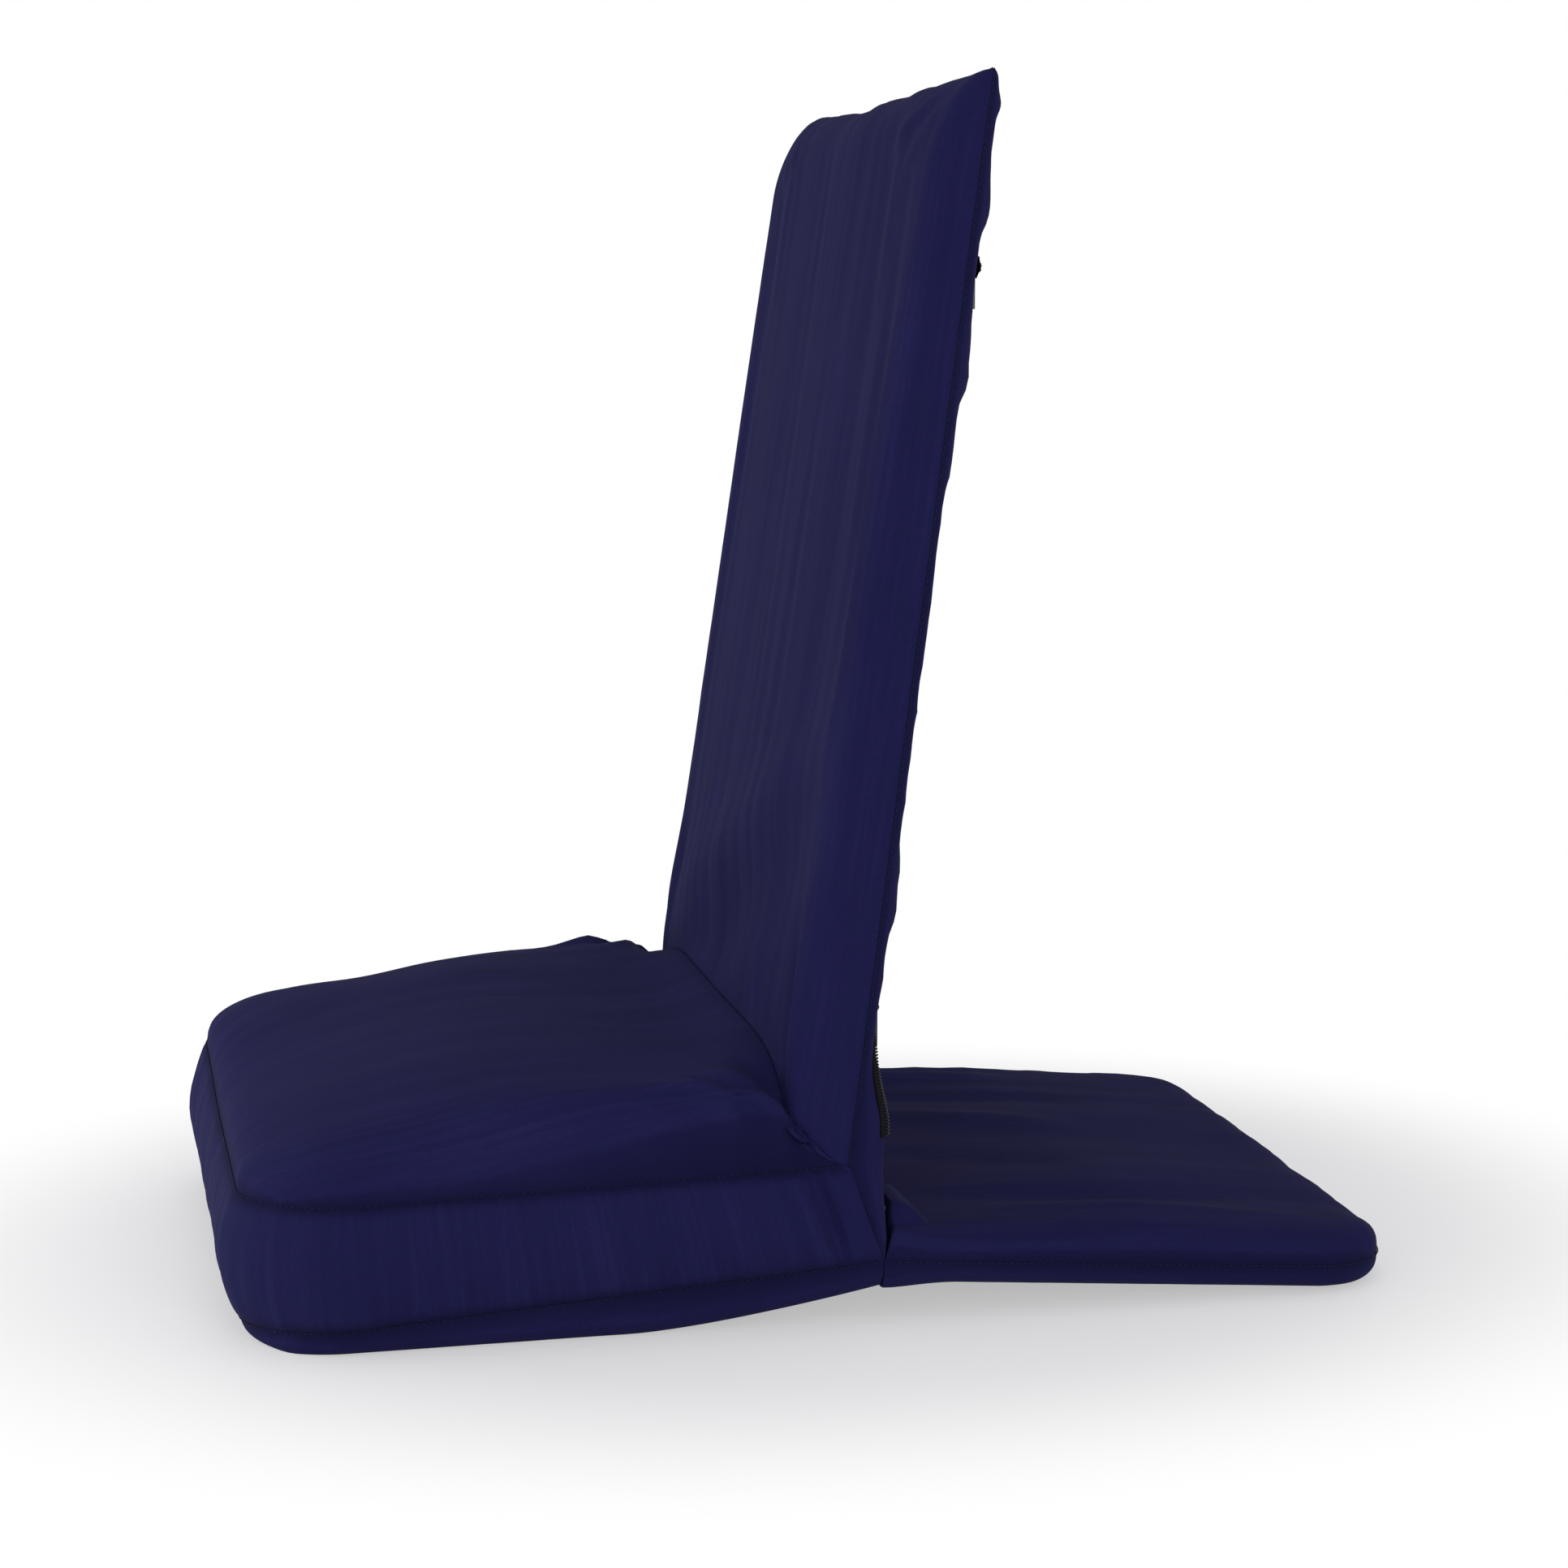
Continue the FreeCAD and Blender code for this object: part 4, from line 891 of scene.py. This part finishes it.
def twill(name, colour):
    """Brushed cotton twill: diagonal weave, lengthwise streaks, lint, and painted shade along each seam, where its
    furrow lies.
    """
    material, nodes, shader = new_material(
        name, Roughness=0.86, Specular_IOR_Level=0.05, Sheen_Weight=0.02, Sheen_Roughness=0.55,
        Sheen_Tint=(0.55, 0.55, 0.95, 1))
    cloth, whole = nodes.new("UVMap", uv_map="cloth"), nodes.new("TexCoord")
    streak_map = nodes.on(cloth, "Mapping", Scale=(260, 9, 1))
    streaks = nodes.on(streak_map, "TexNoise", Scale=1, Detail=4, Roughness=0.6)
    broad_map = nodes.on(cloth, "Mapping", Scale=(60, 3.5, 1))
    broad = nodes.on(broad_map, "TexNoise", Scale=1, Detail=2)
    twist = nodes.on(cloth, "Mapping", Scale=(1500, 1500, 1500), Rotation=(0, 0, math.radians(58)))
    ribs = nodes.on(twist, "TexWave", Scale=0.5, Distortion=0.6, Detail=1)
    lint = nodes.on(whole, "TexNoise", "Object", Scale=620, Detail=3, Roughness=0.7)
    clouds = nodes.on(whole, "TexNoise", "Object", Scale=14, Detail=3)
    total = nodes.scaled(streaks, 0.4)
    for texture, weight in ((broad, 0.22), (lint, 0.22), (clouds, 0.16)):
        added = nodes.new("Math", operation="ADD")
        nodes.join(total, added, 0)
        nodes.join(nodes.scaled(texture, weight), added, 1)
        total = added
    tone = nodes.new("ValToRGB")
    ramp = tone.color_ramp.elements
    ramp[0].position, ramp[0].color = 0.25, tint(colour, 0.72)
    ramp[1].position, ramp[1].color = 0.78, tint(colour, 1.45, 0.004)
    ramp.new(0.5).color = tint(colour, 1.0)
    nodes.join(total, tone, "Fac")
    # Painted shade: the cloth's colour darkened along each seam, standing in for the shade in the seam's furrow
    seam_shade = nodes.new("Mix", data_type="RGBA")
    seam_shade.inputs[7].default_value = tint(colour, 0.3)
    nodes.join(tone, seam_shade, 6)
    seam = nodes.new("Attribute", attribute_name="seam")
    nodes.join(nodes.scaled(seam, 0.6), seam_shade, "Factor")
    nodes.join(seam_shade, shader, "Base Color", 2)
    nodes.join(nodes.span(streaks, 0.78, 0.95), shader, "Roughness")
    weave = nodes.bump(ribs, 0.35, 0.00012, shader)
    fuzz = nodes.bump(lint, 0.45, 0.00025, shader, weave)
    nodes.bump(streaks, 0.3, 0.0006, shader, fuzz)
    return material


def grained(name, colour, roughness, metallic, scale, depth, gleam):
    """Plain material with a fine grain in its colour, its gloss and its surface."""
    grain, play = 0.15, 0.08
    material, nodes, shader = new_material(name, Metallic=metallic, Specular_IOR_Level=gleam)
    place = nodes.new("TexCoord")
    fine = nodes.on(place, "TexNoise", "Object", Scale=scale, Detail=4)
    broad = nodes.on(place, "TexNoise", "Object", Scale=scale / 12, Detail=2)
    tone = nodes.new("ValToRGB")
    ramp = tone.color_ramp.elements
    ramp[0].position, ramp[0].color = 0.3, tint(colour, 1 - grain)
    ramp[1].position, ramp[1].color = 0.7, tint(colour, 1 + grain)
    nodes.join(broad, tone, "Fac", "Fac")
    nodes.join(tone, shader, "Base Color")
    gloss = nodes.span(fine, max(roughness - play, 0.02), min(roughness + play, 1))
    nodes.join(gloss, shader, "Roughness")
    nodes.bump(fine, 0.4, depth, shader)
    return material


def floor_material():
    """White floor that keeps the chair's shadow and fades to plain white away from it."""
    material, nodes, shader = new_material(
        "floor_white", Base_Color=(0.86, 0.86, 0.88, 1), Roughness=0.5, Specular_IOR_Level=0.25)
    oval = nodes.on(nodes.new("TexCoord"), "Mapping", "Object", Scale=(1.0, 1.25, 1.0))
    length = nodes.new("VectorMath", operation="LENGTH")
    nodes.join(oval, length)
    fade = nodes.new("MapRange", interpolation_type="SMOOTHSTEP",
                     **{"From Min": 0.34, "From Max": 0.6, "To Min": 0.45})
    nodes.join(length, fade, "Value", "Value")
    both = nodes.new("Math", operation="MULTIPLY")
    nodes.join(fade, both, 0)
    nodes.join(nodes.seen_by("Is Camera Ray", "Is Glossy Ray"), both, 1)
    blend = nodes.new("MixShader")
    nodes.join(both, blend, "Fac")
    nodes.join(shader, blend, 1)
    nodes.join(nodes.new("Emission", Color=(1, 1, 1, 1), Strength=1), blend, 2)
    nodes.join(blend, material.node_tree.nodes["Material Output"], "Surface")
    return material


def paint(thing, material):
    thing.data.materials.clear()
    thing.data.materials.append(material)
    return thing


# Floor, surroundings, lamps and camera

def surroundings():
    """Soft pale light all round, seen as plain white by the camera."""
    world = bpy.data.worlds.new("studio")
    bpy.context.scene.world = world
    nodes = Nodes(world)
    plain = world.node_tree.nodes["Background"]
    plain.inputs["Color"].default_value = (0.97, 0.97, 1.0, 1)
    plain.inputs["Strength"].default_value = 0.5
    blend = nodes.new("MixShader")
    nodes.join(nodes.seen_by("Is Camera Ray", "Is Transmission Ray"), blend, "Fac")
    nodes.join(plain, blend, 1)
    nodes.join(nodes.new("Background", Color=(1, 1, 1, 1), Strength=1), blend, 2)
    nodes.join(blend, world.node_tree.nodes["World Output"], "Surface")


def aim(thing, place, way):
    """Puts a lamp or the camera at a place, looking along way."""
    thing.location = place
    thing.rotation_euler = way.to_track_quat("-Z", "Y").to_euler()


def stage():
    """Floor, white surroundings, soft square lamps and the camera."""
    mesh = bpy.data.meshes.new("floor")
    r = FLOOR_REACH
    mesh.from_pydata([(-r, -r, 0), (r, -r, 0), (r, r, 0), (-r, r, 0)], [], [(0, 1, 2, 3)])
    floor = paint(placed("floor", mesh), floor_material())
    surroundings()
    for name, place, target, size, power in LAMPS:
        light = bpy.data.lights.new(name, "AREA")
        light.shape = "SQUARE"
        light.size = size
        light.energy = power
        aim(placed(name, light), place, Vector(target) - Vector(place))
    data = bpy.data.cameras.new("camera")
    data.sensor_width = 36.0
    data.lens = CAMERA_LENS
    data.clip_start = 0.05
    data.clip_end = 100.0
    camera = placed("camera", data)
    level = math.cos(CAMERA_PITCH)
    forward = (math.sin(CAMERA_YAW) * level, math.cos(CAMERA_YAW) * level, -math.sin(CAMERA_PITCH))
    aim(camera, CAMERA_AT, Vector(forward))
    bpy.context.scene.camera = camera
    bpy.context.scene.view_settings.view_transform = "Standard"


# Sewing thread and zips

def tubes(name, lines, radius, sides):
    """One mesh of short closed rods, each along a line of a few points."""
    points, faces = [], []
    turn = np.linspace(0, 2 * math.pi, sides, endpoint=False)
    for line in lines:
        line = np.asarray(line, float)
        way = np.gradient(line, axis=0)
        way /= np.maximum(np.linalg.norm(way, axis=1, keepdims=True), 1e-12)
        helper = np.array([0.0, 0.0, 1.0]) if abs(way[0][2]) < 0.9 else np.array([1.0, 0.0, 0.0])
        base = len(points)
        for spot, direction in zip(line, way):
            one = np.cross(direction, helper)
            one /= np.linalg.norm(one)
            two = np.cross(direction, one)
            points.extend(spot + radius * (math.cos(t) * one + math.sin(t) * two) for t in turn)
        for ring in range(len(line) - 1):
            for k in range(sides):
                a, b = base + ring * sides + k, base + ring * sides + (k + 1) % sides
                faces.append((a, b, b + sides, a + sides))
        last = base + (len(line) - 1) * sides
        faces.append(tuple(base + k for k in range(sides))[::-1])
        faces.append(tuple(last + k for k in range(sides)))
    mesh = bpy.data.meshes.new(name)
    mesh.from_pydata([tuple(p) for p in points], [], faces)
    mesh.shade_smooth()
    return placed(name, mesh)


def thread_piece(name, line, centre):
    """Thread of one seam: short arched stitches, pushed out away from a centre."""
    outward = np.array(line).mean(axis=0) - centre
    outward = outward / np.linalg.norm(outward)
    push = np.array([-STITCH_ARCH, STITCH_ARCH, STITCH_ARCH, -STITCH_ARCH])[:, None] + STITCH_LIFT
    run = run_along(line)
    found = []
    for start in np.arange(STITCH_PITCH, run[-1] - STITCH_PITCH, STITCH_PITCH):
        found.append(read_off(line, run, np.linspace(start, start + STITCH, 4)) + push * outward)
    return tubes(name, found, THREAD, 4)


def split_seam(line):
    """A seam that turns two corners, as its near side, its end and its far side."""
    y = line[:, 1]
    first = int(np.argmax(y > -HALF * 0.9))
    last = len(y) - int(np.argmax(y[::-1] < HALF * 0.9))
    return (("_near", line[:first + 1]), ("_end", line[first:last]), ("_far", line[last - 1:]))


def on_sheet(sheet, y, z):
    """Point of a sheet's grid nearest to a place seen from behind, and its outward normal."""
    n = normals_of(sheet)
    gap = (sheet[..., 1] - y) ** 2 + (sheet[..., 2] - z) ** 2
    spot = np.unravel_index(np.argmin(gap), gap.shape)
    return np.array([sheet[spot][0], y, z]), n[spot] * np.sign(n[spot][0])


def zip_line(sheet, z, drop):
    """Line of a zip on the rear panel, its ends curving down if it has a drop."""
    half = ZIP_HALF if drop else ZIP_SHUT
    path = [(y, z) for y in np.linspace(-half, half, 120)]
    if drop:
        turn = np.linspace(0, math.pi / 2, 10)[1:]
        bend = [(ZIP_HALF + ZIP_BEND * math.sin(t), z - ZIP_BEND * (1 - math.cos(t))) for t in turn]
        fall = [(ZIP_HALF + ZIP_BEND, z - ZIP_BEND - drop * t) for t in np.linspace(0, 1, 16)[1:]]
        end = bend + fall
        path = [(-y, height) for y, height in end[::-1]] + path + end
    points, outward = [np.array(rows) for rows in zip(*(on_sheet(sheet, y, height) for y, height in path))]
    for _ in range(6):
        for row in (points, outward):
            row[1:-1] = (row[:-2] + 2 * row[1:-1] + row[2:]) / 4
    return points, outward / np.linalg.norm(outward, axis=1, keepdims=True)


def zip_pieces(name, sheet, z, drop):
    """Tape and coil of one zip, lying on the rear panel."""
    points, outward = zip_line(sheet, z, drop)
    way = np.gradient(points, axis=0)
    way /= np.linalg.norm(way, axis=1, keepdims=True)
    across = np.cross(way, outward)
    grid = np.stack([points + a * across + (b + TAPE_LIFT) * outward for a, b in TAPE_PROFILE], axis=1)
    under = grid - TAPE_THICK * outward[:, None, :]
    under[:, 0], under[:, -1] = grid[:, 0], grid[:, -1]
    tape = Cushion(name + "_tape_cloth")
    tape.add(grid, grid[..., 1], grid[..., 2])
    tape.add(under, grid[..., 1], grid[..., 2], True)
    run = run_along(points)
    teeth = []
    for at in np.arange(0.001, run[-1], TOOTH_PITCH):
        spot, out, over, on = [read_off(line, run, at) for line in (points, outward, across, way)]
        lean = on * TOOTH_PITCH * TOOTH_LEAN
        foot, head = [(wide * over, high * out) for wide, high in (TOOTH_FOOT, TOOTH_HEAD)]
        teeth.append([spot - foot[0] + foot[1] - lean, spot - head[0] + head[1],
                      spot + head[0] + head[1], spot + foot[0] + foot[1] + lean])
    return tape.build(), tubes(name + "_coil_teeth", teeth, TOOTH_THICK, 5)


# The whole chair

def seam_threads(upper, lower, front, rim):
    """Threads of all seams, each with the cushion it belongs to."""
    seams = [("seat_upper_seam" + part, line, "seat") for part, line in split_seam(upper)]
    seams += [("seat_lower_seam" + part, line, "seat") for part, line in split_seam(lower)]
    seams += [("back_near_seam", front[0], "back"), ("back_far_seam", front[-1], "back"),
              ("back_top_seam", front[:, -1], "back")]
    seams += [("tail_seam" + part, line, "tail") for part, line in split_seam(rim)]
    return [(thread_piece(name, line, HEARTS[home]), home) for name, line, home in seams]


def move_with_bodies(pieces):
    """Bakes the seat's and the tail's cushions and threads in place, and hangs the backrest's on the backrest's
    body.
    """
    for thing, home in pieces:
        if home == "seat":
            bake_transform(thing)
        elif home == "tail":
            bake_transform(thing)
        else:
            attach(thing, "backrest")


def add_zips(rear, materials):
    """Both zips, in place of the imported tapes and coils."""
    for name, z, drop in (("upper_zip", UPPER_ZIP_Z, 0.0), ("lower_zip", LOWER_ZIP_Z, ZIP_DROP)):
        tape, coil = zip_pieces(name, rear, z, drop)
        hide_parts(name + "_tape")
        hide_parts(name + "_coil")
        for thing, slot in ((tape, "zip_tape"), (coil, "zip_coil")):
            paint(thing, materials[slot])
            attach(thing, "backrest")


def main():
    materials = {"cover_cloth": twill("cover_twill", COVER_BLUE)}
    for slot, values in PLAIN_MATERIALS.items():
        materials[slot] = grained(*values)
    stage()
    seat, upper, lower = seat_cushion()
    back, front, rear = back_cushion()
    tail, rim = tail_cushion()
    cushions = [(seat, "seat"), (back, "back"), (tail, "tail")]
    threads = seam_threads(upper, lower, front, rim)
    for group, material in ((cushions, "cover_cloth"), (threads, "thread")):
        for thing, _ in group:
            paint(thing, materials[material])
    move_with_bodies(cushions + threads)
    add_zips(rear, materials)
    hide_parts("seat_top_panel", "seat_boxing", "seat_bottom_panel", "seat_foam", "seat_wadding")
    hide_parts("back_front_panel", "back_rear_panel", "back_pad_front", "back_pad_rear")
    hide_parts("tail_top_panel", "tail_bottom_panel", "tail_pad_top", "tail_pad_bottom")
    for part in frame["record"]["subparts"]:
        paint(frame["nodes"][part["node"]], materials[part["material_slot"]])


main()
